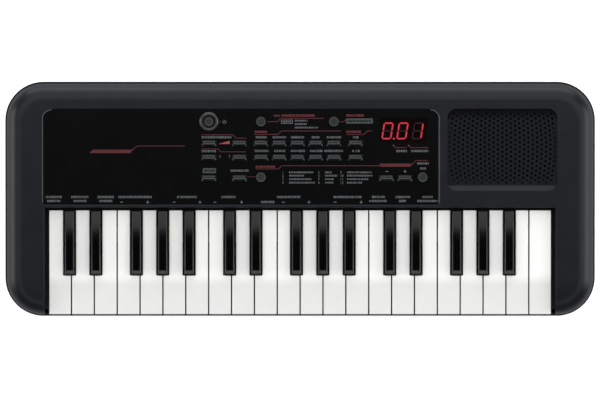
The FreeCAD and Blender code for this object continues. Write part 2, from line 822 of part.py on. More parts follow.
def make_battery_cover():
    """The battery cover: a plate with two tongues at its hinge edge and a
    finger notch at the other."""
    cover = Moulding("battery_cover")
    cover.block(f"0 - {COVER_HALF}", COVER_HALF, COVER_FRONT, COVER_BACK,
                "foot_height", COVER_TOP)
    for side in ("0 - tongue_spread", "tongue_spread"):
        cover.block(f"{side} - tongue_width / 2", f"{side} + tongue_width / 2",
                    f"{COVER_FRONT} - tongue_length", f"{COVER_FRONT} + tongue_length",
                    "foot_height + tongue_lip + tongue_rise", COVER_TOP)
    cover.block("0 - finger_notch_width / 2", "finger_notch_width / 2",
                f"{COVER_BACK} - cover_ledge", f"{COVER_BACK} + overrun",
                "foot_height - overrun", "foot_height + finger_notch_depth", remove=True)
    return keep("battery_cover", cover.body)


def make_batteries():
    """The AA cells side by side, turned end for end by turns."""
    cell = Moulding("cell_form")
    cell.rod("y", "0", "0 - cell_length / 2", "0", "cell_length", "cell_diameter")
    cell.rod("y", "0", "cell_length / 2 - overrun", "0", "cell_nub + overrun",
             "cell_nub_diameter")
    doc.recompute()
    copies = []
    centre = size("cell_centre_y")
    shift = size("(contact_spring - cell_nub) / 2")
    for place in range(CELL_COUNT):
        turned = place % 2 == 1
        facing = Rotation(UPRIGHT, 180) if turned else Rotation()
        y = centre - shift if turned else centre + shift
        x = (place - (CELL_COUNT - 1) / 2) * size(CELL_PITCH)
        copies.append(copied(cell.body, Placement(Vector(x, y, size(CELL_HEIGHT)), facing)))
    return group("batteries", copies)


def make_battery_contacts():
    """A contact plate at each end of each cell, with a sprung cone behind
    its minus end."""
    plate = Moulding("contact_form")
    plate.block("0 - contact_width / 2", "contact_width / 2", "0", "contact_thickness",
                "0 - contact_width / 2", "contact_width / 2")
    sprung = Moulding("sprung_contact_form")
    sprung.block("0 - contact_width / 2", "contact_width / 2", "0", "contact_thickness",
                 "0 - contact_width / 2", "contact_width / 2")
    cone = sprung.feature("AdditiveCone")
    cone.Placement = Placement(Vector(0, 0, 0), Rotation(ACROSS, -90))
    bind(cone, "Radius1", "contact_width / 2 - contact_thickness")
    bind(cone, "Radius2", "cell_nub_diameter / 2")
    bind(cone, "Height", "contact_thickness + contact_spring - cell_gap / 2")
    doc.recompute()
    copies = []
    front = size(BAY_FRONT)
    back = size(BAY_BACK)
    for place in range(CELL_COUNT):
        turned = place % 2 == 1
        x = (place - (CELL_COUNT - 1) / 2) * size(CELL_PITCH)
        front_form = plate if turned else sprung
        back_form = sprung if turned else plate
        z = size(CELL_HEIGHT)
        copies.append(copied(front_form.body, Placement(Vector(x, front, z), Rotation())))
        copies.append(copied(back_form.body,
                             Placement(Vector(x, back, z), Rotation(UPRIGHT, 180))))
    return group("battery_contacts", copies)


# Main board and its sockets

def make_main_board():
    """The main circuit board with its chips and two tall capacitors."""
    board = Moulding("main_board")
    top = "(main_board_height + board_thickness)"
    board.block("main_board_left", "main_board_right", "main_board_front", "main_board_back",
                "main_board_height", top)
    middle_x = "((main_board_left + main_board_right) / 2)"
    middle_y = "((main_board_front + main_board_back) / 2)"
    board.block(f"{middle_x} - chip_size / 2", f"{middle_x} + chip_size / 2",
                f"{middle_y} - chip_size / 2", f"{middle_y} + chip_size / 2",
                "main_board_height", f"{top} + chip_height")
    board.block(f"{middle_x} + chip_size", f"{middle_x} + chip_size * 3 / 2",
                f"{middle_y} - chip_size / 2", f"{middle_y} + chip_size / 2",
                "main_board_height", f"{top} + chip_height")
    for offset in ("chip_size", "chip_size * 2"):
        board.drum(f"{middle_x} - {offset}", f"{middle_y} - chip_size", "main_board_height",
                   f"{top} + capacitor_height", "capacitor_diameter")
    for x, y in MAIN_PIN_PLACES:
        board.drum(x, y, "main_board_height - overrun", f"{top} + overrun",
                   "pin_diameter + pin_clearance * 2", remove=True)
    return keep("main_board", board.body)


def make_usb_socket():
    """The small USB socket: a thin shell, open to the back, with a tongue."""
    socket = Moulding("usb_socket")
    front = f"({INNER_BACK} - usb_length)"
    low = f"({USB_HEIGHT} - usb_height / 2)"
    high = f"({USB_HEIGHT} + usb_height / 2)"
    socket.block("usb_x - usb_width / 2", "usb_x + usb_width / 2", front,
                 f"{INNER_BACK} - socket_setback", low, high)
    socket.block("usb_x - usb_width / 2 + usb_shell", "usb_x + usb_width / 2 - usb_shell",
                 f"{front} + usb_shell * 2", f"{INNER_BACK} + overrun",
                 f"{low} + usb_shell", f"{high} - usb_shell", remove=True)
    socket.block("usb_x - usb_width / 4", "usb_x + usb_width / 4", front,
                 f"{INNER_BACK} - usb_tongue_setback",
                 f"{USB_HEIGHT} - usb_tongue / 2", f"{USB_HEIGHT} + usb_tongue / 2")
    return keep("usb_socket", socket.body)


def make_phones_socket():
    """The 3.5 mm phones socket: a block with a round bore, open to the back."""
    socket = Moulding("phones_socket")
    back = f"({INNER_BACK} - socket_setback)"
    front = f"({back} - phones_bore_depth - phones_end_wall)"
    socket.block("phones_x - phones_width / 2", "phones_x + phones_width / 2", front, back,
                 f"{PHONES_HEIGHT} - phones_height / 2", f"{PHONES_HEIGHT} + phones_height / 2")
    socket.rod("y", "phones_x", f"{back} - phones_bore_depth", PHONES_HEIGHT,
               "phones_bore_depth + overrun", "phones_bore", remove=True)
    return keep("phones_socket", socket.body)


# Control panel and buttons

ROUND_PLACES = [
    ("voice_first", "round_row"),
    (f"voice_first + voice_pitch * {VOICE_COLUMNS - 1}", "round_row"),
    ("voice_first", "lower_row"),
    ("tap_column", "lower_row"),
]
POWER_PLACE = ("side_column_left", "round_row")
SIDE_PLACES = [(x, y) for x in ("side_column_left", "side_column_right")
               for y in ("upper_row", "middle_row", "lower_row")]
VOICE_PLACES = [(f"voice_first + voice_pitch * {step}", y) for step in range(VOICE_COLUMNS)
                for y in ("upper_row", "middle_row")]
PHRASE_PLACES = [("phrase_column", "upper_row"), ("phrase_column", "middle_row"),
                 ("minus_column", "lower_row"), ("plus_column", "lower_row")]

CAP_FRONT = "(cap_top_width / 2 + cap_front_slope)"
CAP_BACK = "(cap_top_width / 2 + cap_back_slope)"
FLANGE_TOP = f"({PANEL_FLOOR} - cap_clearance)"
FLANGE_BOTTOM = f"({FLANGE_TOP} - cap_flange)"
SWITCH_TOP = f"({FLANGE_BOTTOM} - button_travel - switch_gap)"


def make_control_panel():
    """The glossy panel inset, with an opening for each button and for the
    display, and a raised ring round the power button."""
    panel = panel_outline("control_panel", "0", PANEL_FLOOR, "0 - panel_sink")
    x, y = POWER_PLACE
    ring_section = "((power_ring_diameter - power_well_diameter) / 2)"
    panel.ring(x, y, f"power_ring_rise - panel_sink - {ring_section} / 2",
               "(power_ring_diameter + power_well_diameter) / 2", ring_section)
    for x, y in SIDE_PLACES + VOICE_PLACES + PHRASE_PLACES:
        panel.block(f"{x} - cap_base_length / 2 - cap_clearance",
                    f"{x} + cap_base_length / 2 + cap_clearance",
                    f"{y} - {CAP_FRONT} - cap_clearance", f"{y} + {CAP_BACK} + cap_clearance",
                    f"{PANEL_FLOOR} - overrun", "overrun", remove=True)
    for x, y in ROUND_PLACES:
        panel.drum(x, y, f"{PANEL_FLOOR} - overrun", "overrun",
                   "round_cap_diameter + cap_clearance * 2", remove=True)
    x, y = POWER_PLACE
    panel.drum(x, y, f"{PANEL_FLOOR} - overrun", "overrun", "power_well_diameter", remove=True)
    panel.block("display_left", "display_right", "display_front", "display_back",
                f"{PANEL_FLOOR} - overrun", "overrun", remove=True)
    return keep("control_panel", panel.body)


def make_bar_cap():
    """One bar-shaped button cap, with a sloping front and a flange below."""
    cap = Moulding("bar_cap_form")
    half = "(cap_base_length / 2)"
    top_half = "(cap_top_length / 2)"
    cap.block(f"0 - {half} - cap_flange", f"{half} + cap_flange",
              f"0 - {CAP_FRONT} - cap_flange", f"{CAP_BACK} + cap_flange",
              FLANGE_BOTTOM, FLANGE_TOP)
    cap.block(f"0 - {half}", half, f"0 - {CAP_FRONT}", CAP_BACK, FLANGE_BOTTOM, "0")
    cap.taper((f"0 - {half}", half, f"0 - {CAP_FRONT}", CAP_BACK),
              (f"0 - {top_half}", top_half, "0 - cap_top_width / 2", "cap_top_width / 2"),
              "0", "cap_rise")
    top = size("cap_rise")
    cap.soften("cap_softening", lambda edge: same(middle_of(edge).z, top))
    return cap.body


def make_round_cap(name, diameter, flange_diameter):
    """One round button cap with a flange below."""
    cap = Moulding(name)
    cap.drum("0", "0", FLANGE_BOTTOM, FLANGE_TOP, flange_diameter)
    cap.drum("0", "0", FLANGE_BOTTOM, "cap_rise", diameter)
    top = size("cap_rise")
    cap.soften("cap_softening", lambda edge: same(middle_of(edge).z, top))
    return cap.body


def make_buttons():
    """Every button cap: bars in three groups, four rounds and the power button."""
    bar = make_bar_cap()
    disc = make_round_cap("round_cap_form", "round_cap_diameter",
                          "round_cap_diameter + cap_clearance * 2 + cap_flange * 2")
    power = make_round_cap("power_cap_form", "power_cap_diameter",
                           "power_well_diameter + cap_flange * 2")
    doc.recompute()
    for name, form, places in (
        ("side_buttons", bar, SIDE_PLACES),
        ("voice_buttons", bar, VOICE_PLACES),
        ("phrase_buttons", bar, PHRASE_PLACES),
        ("round_buttons", disc, ROUND_PLACES),
        ("power_button", power, [POWER_PLACE]),
    ):
        group(name, [copied(form, deck_placement(size(x), size(y), 0)) for x, y in places])


def make_panel_board():
    """The board behind the panel, with a switch under every button."""
    board_top = "(0 - panel_board_depth)"
    board_bottom = "(0 - panel_board_depth - board_thickness)"
    solids = [block("panel_board_sheet", "panel_board_left", "panel_board_right",
                    "panel_board_front", "panel_board_back", board_bottom, board_top)]
    for x, y in SIDE_PLACES + VOICE_PLACES + PHRASE_PLACES + ROUND_PLACES + [POWER_PLACE]:
        solids.append(block(f"switch_{len(solids)}", f"{x} - switch_width / 2",
                            f"{x} + switch_width / 2", f"{y} - switch_width / 2",
                            f"{y} + switch_width / 2", board_bottom, SWITCH_TOP))
    whole = fuse("panel_board_whole", solids)
    tools = []
    for number, (x, y) in enumerate(PANEL_PIN_PLACES):
        tools.append(drum(f"panel_board_hole_{number}", x, y, f"{board_bottom} - overrun",
                          f"{board_top} + overrun", "pin_diameter + pin_clearance * 2"))
    return keep("panel_board", cut("panel_board", whole, tools))


def make_display():
    """The three-figure light display, which looks through the panel."""
    display = Moulding("led_display", on_deck=True)
    display.block("display_left + display_gap", "display_right - display_gap",
                  "display_front + display_gap", "display_back - display_gap",
                  "0 - panel_board_depth", "0 - panel_sink - display_sink")
    return keep("led_display", display.body)


def make_grille():
    """The perforated grille plate: staggered holes in columns that bow."""
    frame = grille_seat("grille_form", "0", GRILLE_FLOOR, "0 - grille_sink")
    doc.recompute()
    plate = frame.Shape.copy()
    plate.Placement = Placement()
    half_width = size("(grille_right - grille_left) / 2 - hole_margin")
    south = size("grille_front + grille_ramp + hole_margin")
    north = size("grille_back - hole_margin")
    half_depth = (north - south) / 2
    centre = Vector(size(GRILLE_X), (north + south) / 2, 0)
    radius = size("hole_diameter") / 2
    pitch = size("hole_column_pitch")
    step = size("hole_row_pitch")
    columns = int(half_width / pitch)
    rows = int(2 * half_depth / step)
    low = size(GRILLE_FLOOR)
    top = size("0 - grille_sink")
    corner = size("grille_corner_radius")
    holes = []
    for column in range(-columns, columns + 1):
        stagger = step / 2 if column % 2 else 0
        for row in range(-rows, rows + 1):
            y = row * step + stagger
            if abs(y) > half_depth:
                continue
            x = column * pitch * (1 - HOLE_BOW_SHARE * (y / half_depth) ** 2)
            past_x = max(abs(x) - (half_width - corner), 0)
            past_y = max(abs(y) - (half_depth - corner), 0)
            if math.hypot(past_x, past_y) > corner:
                continue
            circle = Part.Circle(Vector(centre.x + x, centre.y + y, top), UPRIGHT, radius)
            holes.append(Part.Wire(circle.toShape()))
    for face in plate.Faces:
        if same(face.CenterOfMass.z, top) and face.Surface.TypeId == "Part::GeomPlane":
            outline = face.OuterWire
    sheet_face = Part.makeFace([outline] + holes, "Part::FaceMakerBullseye")
    grille = doc.addObject("Part::Feature", "speaker_grille")
    grille.Shape = sheet_face.extrude(Vector(0, 0, low - top))
    grille.Placement = deck_placement(0, 0, 0)
    return keep("speaker_grille", grille)


def make_speaker():
    """The round speaker: flange, cone, basket and magnet."""
    speaker = Moulding("speaker", on_deck=True)
    x, y = GRILLE_X, GRILLE_Y
    flange_low = f"({PAD_BOTTOM} - speaker_flange)"
    basket_low = f"({PAD_BOTTOM} - speaker_cone_depth)"
    speaker.drum(x, y, flange_low, PAD_BOTTOM, "speaker_diameter")
    speaker.cone(x, y, basket_low, flange_low, "speaker_basket_end", "speaker_mouth")
    speaker.drum(x, y, f"{basket_low} - magnet_height", basket_low, "magnet_diameter")
    speaker.cone(x, y, f"{basket_low} + speaker_flange * 2", f"{PAD_BOTTOM}",
                 "cap_dome_diameter", "speaker_mouth - speaker_flange * 2", remove=True)
    speaker.drum(x, y, basket_low, f"{basket_low} + speaker_flange * 4", "cap_dome_diameter")
    for pin_x, pin_y in SPEAKER_PIN_PLACES:
        speaker.drum(pin_x, pin_y, f"{flange_low} - overrun", f"{PAD_BOTTOM} + overrun",
                     "pin_diameter + pin_clearance * 2", remove=True)
    return keep("speaker", speaker.body)


# Keys

OCTAVE = f"(key_pitch * {len(WHITE_NAMES)})"
WHITE_COUNT = OCTAVES * len(WHITE_NAMES) + 1
KEYS_LEFT = f"(0 - key_pitch * {WHITE_COUNT} / 2)"
WHITE_TOP = "(0 - white_sink)"
WHITE_BOTTOM = "(0 - white_sink - white_depth)"


def black_centre(octave, number):
    """Where a black key's middle lies along X."""
    share = BLACK_CENTRE_SHARES[number]
    return f"({KEYS_LEFT} + {OCTAVE} * {octave} + {OCTAVE} * {share})"


def white_sides(octave, number):
    """The left and right sides of a white key in front, and of its narrower
    stretch between the black keys."""
    left = f"({KEYS_LEFT} + {OCTAVE} * {octave} + key_pitch * {number} + key_gap / 2)"
    right = f"({KEYS_LEFT} + {OCTAVE} * {octave} + key_pitch * {number + 1} - key_gap / 2)"
    rear_left, rear_right = left, right
    if LEFT_BLACK[number] is not None:
        rear_left = f"({black_centre(octave, LEFT_BLACK[number])} + black_slot / 2)"
    last = octave == OCTAVES
    if RIGHT_BLACK[number] is not None and not last:
        rear_right = f"({black_centre(octave, RIGHT_BLACK[number])} - black_slot / 2)"
    return left, right, rear_left, rear_right


def add_pivot(key, west, east):
    """The round seats in a key's skirts that clip over the rail, each open
    below, and the plunger that presses the rubber contact."""
    key.rod("x", f"{west} - overrun", "pivot_place", "0 - pivot_depth",
            f"({east}) - ({west}) + overrun * 2", "rail_diameter + rail_clearance * 2",
            remove=True)
    key.block(f"{west} - overrun", f"{east} + overrun",
              "pivot_place - clip_width / 2", "pivot_place + clip_width / 2",
              f"{WHITE_BOTTOM} - overrun", "0 - pivot_depth", remove=True)
    middle = f"(({west}) + ({east})) / 2"
    key.block(f"{middle} - plunger_width / 2", f"{middle} + plunger_width / 2",
              "plunger_place - plunger_width / 2", "plunger_place + plunger_width / 2",
              "0 - plunger_depth", f"{WHITE_TOP} - key_top / 2")


def make_white_key(name, octave, number):
    """A white key: a hollow block, narrower between the black keys, that
    runs back under the deck to its pivot."""
    left, right, rear_left, rear_right = white_sides(octave, number)
    key = Moulding(name, on_deck=True)
    key.block(left, right, "white_front", "notch_front", WHITE_BOTTOM, WHITE_TOP)
    key.block(rear_left, rear_right, "white_front + key_pitch", "key_tail",
              WHITE_BOTTOM, WHITE_TOP)
    front = size("white_front")
    top = size(WHITE_TOP)
    floor = size(WHITE_BOTTOM)
    key.soften("key_softening",
               lambda edge: runs_along(edge, UPRIGHT) and same(middle_of(edge).y, front))
    key.soften("key_softening", lambda edge: same(middle_of(edge).z, top)
               and middle_of(edge).y < size("key_tail") - size("overrun"))
    key.block(f"{left} + key_skirt", f"{right} - key_skirt",
              "white_front + key_skirt", "notch_front - key_skirt",
              f"{WHITE_BOTTOM} - overrun", f"{WHITE_TOP} - key_top", remove=True)
    key.block(f"{rear_left} + key_skirt", f"{rear_right} - key_skirt",
              "notch_front - key_skirt - overrun", "key_tail - key_skirt",
              f"{WHITE_BOTTOM} - overrun", f"{WHITE_TOP} - key_top", remove=True)
    add_pivot(key, rear_left, rear_right)
    return keep(name, key.body)


def make_black_key(name, octave, number):
    """A black key: a tapered top over a hollow stem that runs back under the
    deck to its pivot."""
    centre = black_centre(octave, number)
    left = f"({centre} - black_width / 2)"
    right = f"({centre} + black_width / 2)"
    key = Moulding(name, on_deck=True)
    key.block(left, right, "black_front", "key_tail", WHITE_BOTTOM, WHITE_TOP)
    key.block(left, right, "black_front", "black_back", f"{WHITE_TOP} - key_top",
              f"{WHITE_TOP} + black_chin")
    key.taper((left, right, "black_front", "black_back"),
              (f"{centre} - black_top_width / 2", f"{centre} + black_top_width / 2",
               "black_top_front", "black_back"),
              f"{WHITE_TOP} + black_chin", f"{WHITE_TOP} + black_rise")
    front = size("black_front")
    top = size(f"{WHITE_TOP} + black_rise")
    chin = size(f"{WHITE_TOP} + black_chin")
    back = size("black_back")
    key.soften("key_softening",
               lambda edge: middle_of(edge).z > chin + size("edge_softening")
               and middle_of(edge).y < back - size("edge_softening"))
    key.block(f"{left} + key_skirt", f"{right} - key_skirt",
              "black_front + key_skirt", "key_tail - key_skirt",
              f"{WHITE_BOTTOM} - overrun", f"{WHITE_TOP} - key_top", remove=True)
    add_pivot(key, left, right)
    return keep(name, key.body)


def make_keys():
    """All the keys from C to C, in the order that they lie."""
    for octave in range(OCTAVES):
        for number, letter in enumerate(WHITE_NAMES):
            make_white_key(f"key_{letter}{octave + FIRST_OCTAVE}", octave, number)
        for number, letter in enumerate(BLACK_NAMES):
            make_black_key(f"key_{letter}{octave + FIRST_OCTAVE}", octave, number)
    make_white_key(f"key_c{OCTAVES + FIRST_OCTAVE}", OCTAVES, 0)


def key_stems():
    """The middle of each key's stem, and its inner width, for what lies
    under the keys: whites first, then blacks."""
    whites = []
    blacks = []
    for octave in range(OCTAVES + 1):
        for number in range(len(WHITE_NAMES)):
            if octave == OCTAVES and number > 0:
                continue
            left, right, rear_left, rear_right = white_sides(octave, number)
            whites.append((f"(({rear_left}) + ({rear_right})) / 2",
                           f"(({left}) + ({right})) / 2"))
        for number in range(len(BLACK_NAMES)):
            if octave < OCTAVES:
                blacks.append(black_centre(octave, number))
    return whites, blacks


def make_key_frame():
    """The frame under the keys: a plate, the round rail that the keys clip
    on, the saddles that carry it and a guide tab inside each key."""
    plate_top = f"(0 - {FRAME_DEPTH})"
    whites, blacks = key_stems()
    rail_half = f"({WELL_HALF} - panel_gap)"
    rail_y = "pivot_place * cos(deck_tilt) + pivot_depth * sin(deck_tilt)"
    rail_z = "deck_height + pivot_place * sin(deck_tilt) - pivot_depth * cos(deck_tilt)"
    solids = [
        block("frame_sheet", f"0 - {WELL_HALF} - well_wall", f"{WELL_HALF} + well_wall",
              "frame_front", "frame_back", f"{plate_top} - frame_plate", plate_top),
        rod("key_rail", "x", f"0 - {rail_half}", rail_y, rail_z, f"{rail_half} * 2",
            "rail_diameter"),
    ]
    for side in (f"0 - {rail_half}", f"{rail_half} - saddle_width"):
        solids.append(block(f"rail_end_{len(solids)}", side, f"{side} + saddle_width",
                            "pivot_place - rail_diameter / 2", "pivot_place + rail_diameter / 2",
                            f"{plate_top} - frame_plate / 2", "0 - pivot_depth"))
    guide_half = "((key_pitch - key_gap) / 2 - key_skirt - guide_play)"
    for stem, middle in whites:
        solids.append(block(f"saddle_{len(solids)}", f"{stem} - saddle_width / 2",
                            f"{stem} + saddle_width / 2",
                            "pivot_place - saddle_depth / 2", "pivot_place + saddle_depth / 2",
                            f"{plate_top} - frame_plate / 2", "0 - pivot_depth"))
        solids.append(block(f"white_guide_{len(solids)}", f"{middle} - {guide_half}",
                            f"{middle} + {guide_half}",
                            "white_guide_place - guide_thickness / 2",
                            "white_guide_place + guide_thickness / 2",
                            f"{plate_top} - frame_plate / 2", "0 - white_guide_depth"))
    black_half = "(black_width / 2 - key_skirt - guide_play)"
    for centre in blacks:
        solids.append(block(f"black_guide_{len(solids)}", f"{centre} - {black_half}",
                            f"{centre} + {black_half}",
                            "black_guide_place - guide_thickness / 2",
                            "black_guide_place + guide_thickness / 2",
                            f"{plate_top} - frame_plate / 2", "0 - black_guide_depth"))
    return keep("key_frame", fuse("key_frame", solids))


def make_key_contacts():
    """The contact board on the frame, and the rubber sheet on it with a dome
    under every key's plunger."""
    board_low = f"(0 - {FRAME_DEPTH})"
    board_top = f"({board_low} + board_thickness)"
    sheet_top = f"({board_top} + rubber_sheet)"
    lever = "(pivot_place - plunger_place + plunger_width / 2)"
    pressed = f"(0 - plunger_depth - {lever} * sin(key_press_angle))"
    dome_height = f"({pressed} - rubber_dome_gap - {sheet_top})"
    half = f"({KEYS_LEFT} * (0 - 1))"
    keep("contact_board", block("contact_board", f"0 - {half}", half, "contact_board_front",
                                "contact_board_back", board_low, board_top))
    solids = [block("rubber_sheet_form", f"0 - {half}", half,
                    "plunger_place - rubber_dome_diameter",
                    "plunger_place + rubber_dome_diameter", board_top, sheet_top)]
    whites, blacks = key_stems()
    for centre in [stem for stem, middle in whites] + blacks:
        dome = doc.addObject("Part::Cone", f"dome_{len(solids)}")
        bind(dome, "Radius1", "rubber_dome_diameter / 2")
        bind(dome, "Radius2", "rubber_dome_top / 2")
        bind(dome, "Height", f"{dome_height} + rubber_sheet / 2")
        put(dome, centre, "plunger_place", f"{sheet_top} - rubber_sheet / 2", on_deck=True)
        solids.append(dome)
    keep("contact_rubber", fuse("contact_rubber", solids))


# Fasteners and feet

def make_case_screws():
    """The screws that draw the two shells together from below."""
    screw = Moulding("screw_form")
    screw.drum("0", "0", "0 - screw_head_height", "0", "screw_head")
    screw.drum("0", "0", "0 - screw_head_height / 2", "screw_length", "screw_shank")
    screw.drum("0", "0", "0 - screw_head_height - overrun", "0 - screw_head_height / 2",
               "screw_shank * 2 / 3", remove=True)
    doc.recompute()
    seat = size("screw_seat_height")
    copies = []
    for x, y in SCREW_PLACES:
        copies.append(copied(screw.body, Placement(Vector(size(x), size(y), seat), Rotation())))
    return group("case_screws", copies)


def make_feet():
    """The rubber feet, each stuck into a shallow seat."""
    foot = Moulding("foot_form")
    foot.drum("0", "0", "0", "foot_height + foot_seat", "foot_diameter")
    foot.soften("edge_softening", lambda edge: same(middle_of(edge).z, 0))
    doc.recompute()
    copies = []
    for x, y in FOOT_PLACES:
        copies.append(copied(foot.body, Placement(Vector(size(x), size(y), 0), Rotation())))
    return group("rubber_feet", copies)


def check_and_write():
    """Recompute, check every object and every node, and write the files."""
    doc.recompute()
    for item in doc.Objects:
        if "Invalid" in item.State or "Error" in item.State:
            raise RuntimeError(f"{item.Name} failed: {item.State}")
    for name, item in nodes.items():
        if item.Shape.isNull() or not item.Shape.isValid() or not item.Shape.Solids:
            raise RuntimeError(f"{name} has no valid solid")
    os.makedirs("parts", exist_ok=True)
    whole = FreeCAD.BoundBox()
    for name, item in nodes.items():
        item.Shape.exportStep(f"parts/{name}.step")
        whole.add(item.Shape.optimalBoundingBox(False, False))
        print(f"{name}: {len(item.Shape.Solids)} solids, {item.Shape.Volume:.0f} mm3")
    print(f"{len(nodes)} nodes, box {whole.XLength:.2f} x {whole.YLength:.2f} x {whole.ZLength:.2f}")
    print(f"lowest {whole.ZMin:.3f}, highest {whole.ZMax:.3f}")


make_upper_case()
make_lower_case()
make_control_panel()
make_grille()
make_speaker()
make_buttons()
make_panel_board()
make_display()
make_keys()
make_key_frame()
make_key_contacts()
make_main_board()
make_usb_socket()
make_phones_socket()
make_batteries()
make_battery_contacts()
make_battery_cover()
make_case_screws()
make_feet()
check_and_write()
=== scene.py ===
# %% [markdown]
# # An electronic mini keyboard
#
# The object is a small 37-key keyboard: a dark matt case, a glossy control
# panel with buttons and a light display, a perforated speaker grille, and
# white and black keys in a well. Its construction comes ready made as a
# frame of nodes. Here it gets its finishes, its printing and its small trim.

import json
import math
import random

import bmesh
import bpy
from mathutils import Matrix, Vector


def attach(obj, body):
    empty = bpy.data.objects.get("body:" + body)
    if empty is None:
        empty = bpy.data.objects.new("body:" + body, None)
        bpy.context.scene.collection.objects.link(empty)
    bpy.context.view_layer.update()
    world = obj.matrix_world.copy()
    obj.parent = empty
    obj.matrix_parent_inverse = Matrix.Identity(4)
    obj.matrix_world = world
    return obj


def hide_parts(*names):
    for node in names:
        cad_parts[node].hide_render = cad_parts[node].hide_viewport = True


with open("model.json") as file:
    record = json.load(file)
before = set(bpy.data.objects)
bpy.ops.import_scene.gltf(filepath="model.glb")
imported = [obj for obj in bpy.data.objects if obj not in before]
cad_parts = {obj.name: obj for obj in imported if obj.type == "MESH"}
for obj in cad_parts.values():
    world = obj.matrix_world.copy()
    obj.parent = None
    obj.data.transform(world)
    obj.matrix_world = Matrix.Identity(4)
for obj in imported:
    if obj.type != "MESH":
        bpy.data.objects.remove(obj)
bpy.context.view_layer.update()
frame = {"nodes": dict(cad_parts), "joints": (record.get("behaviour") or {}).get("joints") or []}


# %% [markdown]
# ## The deck's own frame
#
# The top of the case slopes a little towards the player. Everything printed
# or set on it is easiest to lay out on a flat sheet and then tilt onto the
# deck, so one matrix carries the deck's frame to the world. The tilt is read
# from the axis along which the buttons travel, which is the deck's normal.

# %% Find the deck
MM = 0.001
DECK_HEIGHT = 48.95 * MM
press_axis = next(joint["axis"] for joint in frame["joints"] if joint["type"] == "slide")
DECK_TILT = math.asin(press_axis[1])
DECK = Matrix.Translation((0, 0, DECK_HEIGHT)) @ Matrix.Rotation(DECK_TILT, 4, "X")
print("deck tilt", round(math.degrees(DECK_TILT), 3))

# The photograph's size, one of its pixels, and the pixel over the deck's origin
PICTURE_SIZE = (600, 400)
PIXEL = 0.8586 * MM
PIXEL_X = 300.10
PIXEL_Y = 198.7


def spot(place):
    """A pixel of the photograph as a place on the deck."""
    across = (place[0] - PIXEL_X) * PIXEL
    along = (PIXEL_Y - place[1]) * PIXEL / math.cos(DECK_TILT)
    return Vector((across, along, 0))


# %% [markdown]
# ## Finishes
#
# Nearly everything here is moulded plastic, and what tells one plastic from
# another is its grain, its gloss and its faint unevenness. One recipe serves
# them all: a noise that shifts the colour and the roughness a little, and a
# fine bump for the texture that the mould leaves. Every pattern reads the
# Object coordinates, which are metres here, so a grain is as large as it says.

# %% A moulded plastic
RAMP_ENDS = (0.3, 0.7)


def add_node(tree, kind, **inputs):
    """A shader node with some of its sockets set."""
    node = tree.nodes.new(kind)
    for name, value in inputs.items():
        node.inputs[name.replace("_", " ")].default_value = value
    return node


def set_ramp(ramp, positions, colours):
    """Gives a colour ramp its two ends."""
    for end, position, colour in zip(ramp.color_ramp.elements, positions, colours):
        end.position = position
        end.color = (*colour, 1)


def shades(colour, spread):
    """A darker and a lighter shade of a colour."""
    dark = [channel * (1 - spread) for channel in colour]
    light = [min(channel * (1 + spread), 1) for channel in colour]
    return dark, light


def moulded(name, colour, roughness, grain=0.3 * MM, depth=0.01 * MM, spread=0.06,
            patch_size=14 * MM, specular=0.5, roughness_spread=0.05):
    """Moulded plastic: uneven colour and gloss in soft patches, and a grain."""
    material = bpy.data.materials.new(name)
    material.use_nodes = True
    tree = material.node_tree
    link = tree.links.new
    shader = tree.nodes["Principled BSDF"]
    place = tree.nodes.new("ShaderNodeTexCoord")

    patches = add_node(tree, "ShaderNodeTexNoise", Scale=1 / patch_size, Detail=3, Roughness=0.55)
    link(place.outputs["Object"], patches.inputs["Vector"])
    ramp = tree.nodes.new("ShaderNodeValToRGB")
    set_ramp(ramp, RAMP_ENDS, shades(colour, spread))
    link(patches.outputs["Fac"], ramp.inputs["Fac"])
    link(ramp.outputs["Color"], shader.inputs["Base Color"])

    gloss = add_node(tree, "ShaderNodeMapRange", To_Min=roughness - roughness_spread,
                     To_Max=roughness + roughness_spread)
    link(patches.outputs["Fac"], gloss.inputs["Value"])
    link(gloss.outputs["Result"], shader.inputs["Roughness"])
    shader.inputs["Specular IOR Level"].default_value = specular

    if depth:
        pebbles = add_node(tree, "ShaderNodeTexVoronoi", Scale=1 / grain)
        link(place.outputs["Object"], pebbles.inputs["Vector"])
        bump = add_node(tree, "ShaderNodeBump", Strength=1.0, Distance=depth)
        link(pebbles.outputs["Distance"], bump.inputs["Height"])
        link(bump.outputs["Normal"], shader.inputs["Normal"])
    return material


CASE_GREY = (0.0056, 0.0070, 0.0096)
TUB_GREY = (0.0115, 0.0130, 0.0152)
PANEL_BLACK = (0.0024, 0.0025, 0.0027)
GRILLE_GREY = (0.0046, 0.0056, 0.0078)
KEY_BLACK = (0.0007, 0.0007, 0.0008)
BUTTON_GREY = (0.0120, 0.0130, 0.0142)
# The next two greys are the button caps' painted shade and painted highlight.
CAP_SHADE_GREY = (0.0040, 0.0044, 0.0050)
CAP_HIGHLIGHT_GREY = (0.046, 0.050, 0.054)

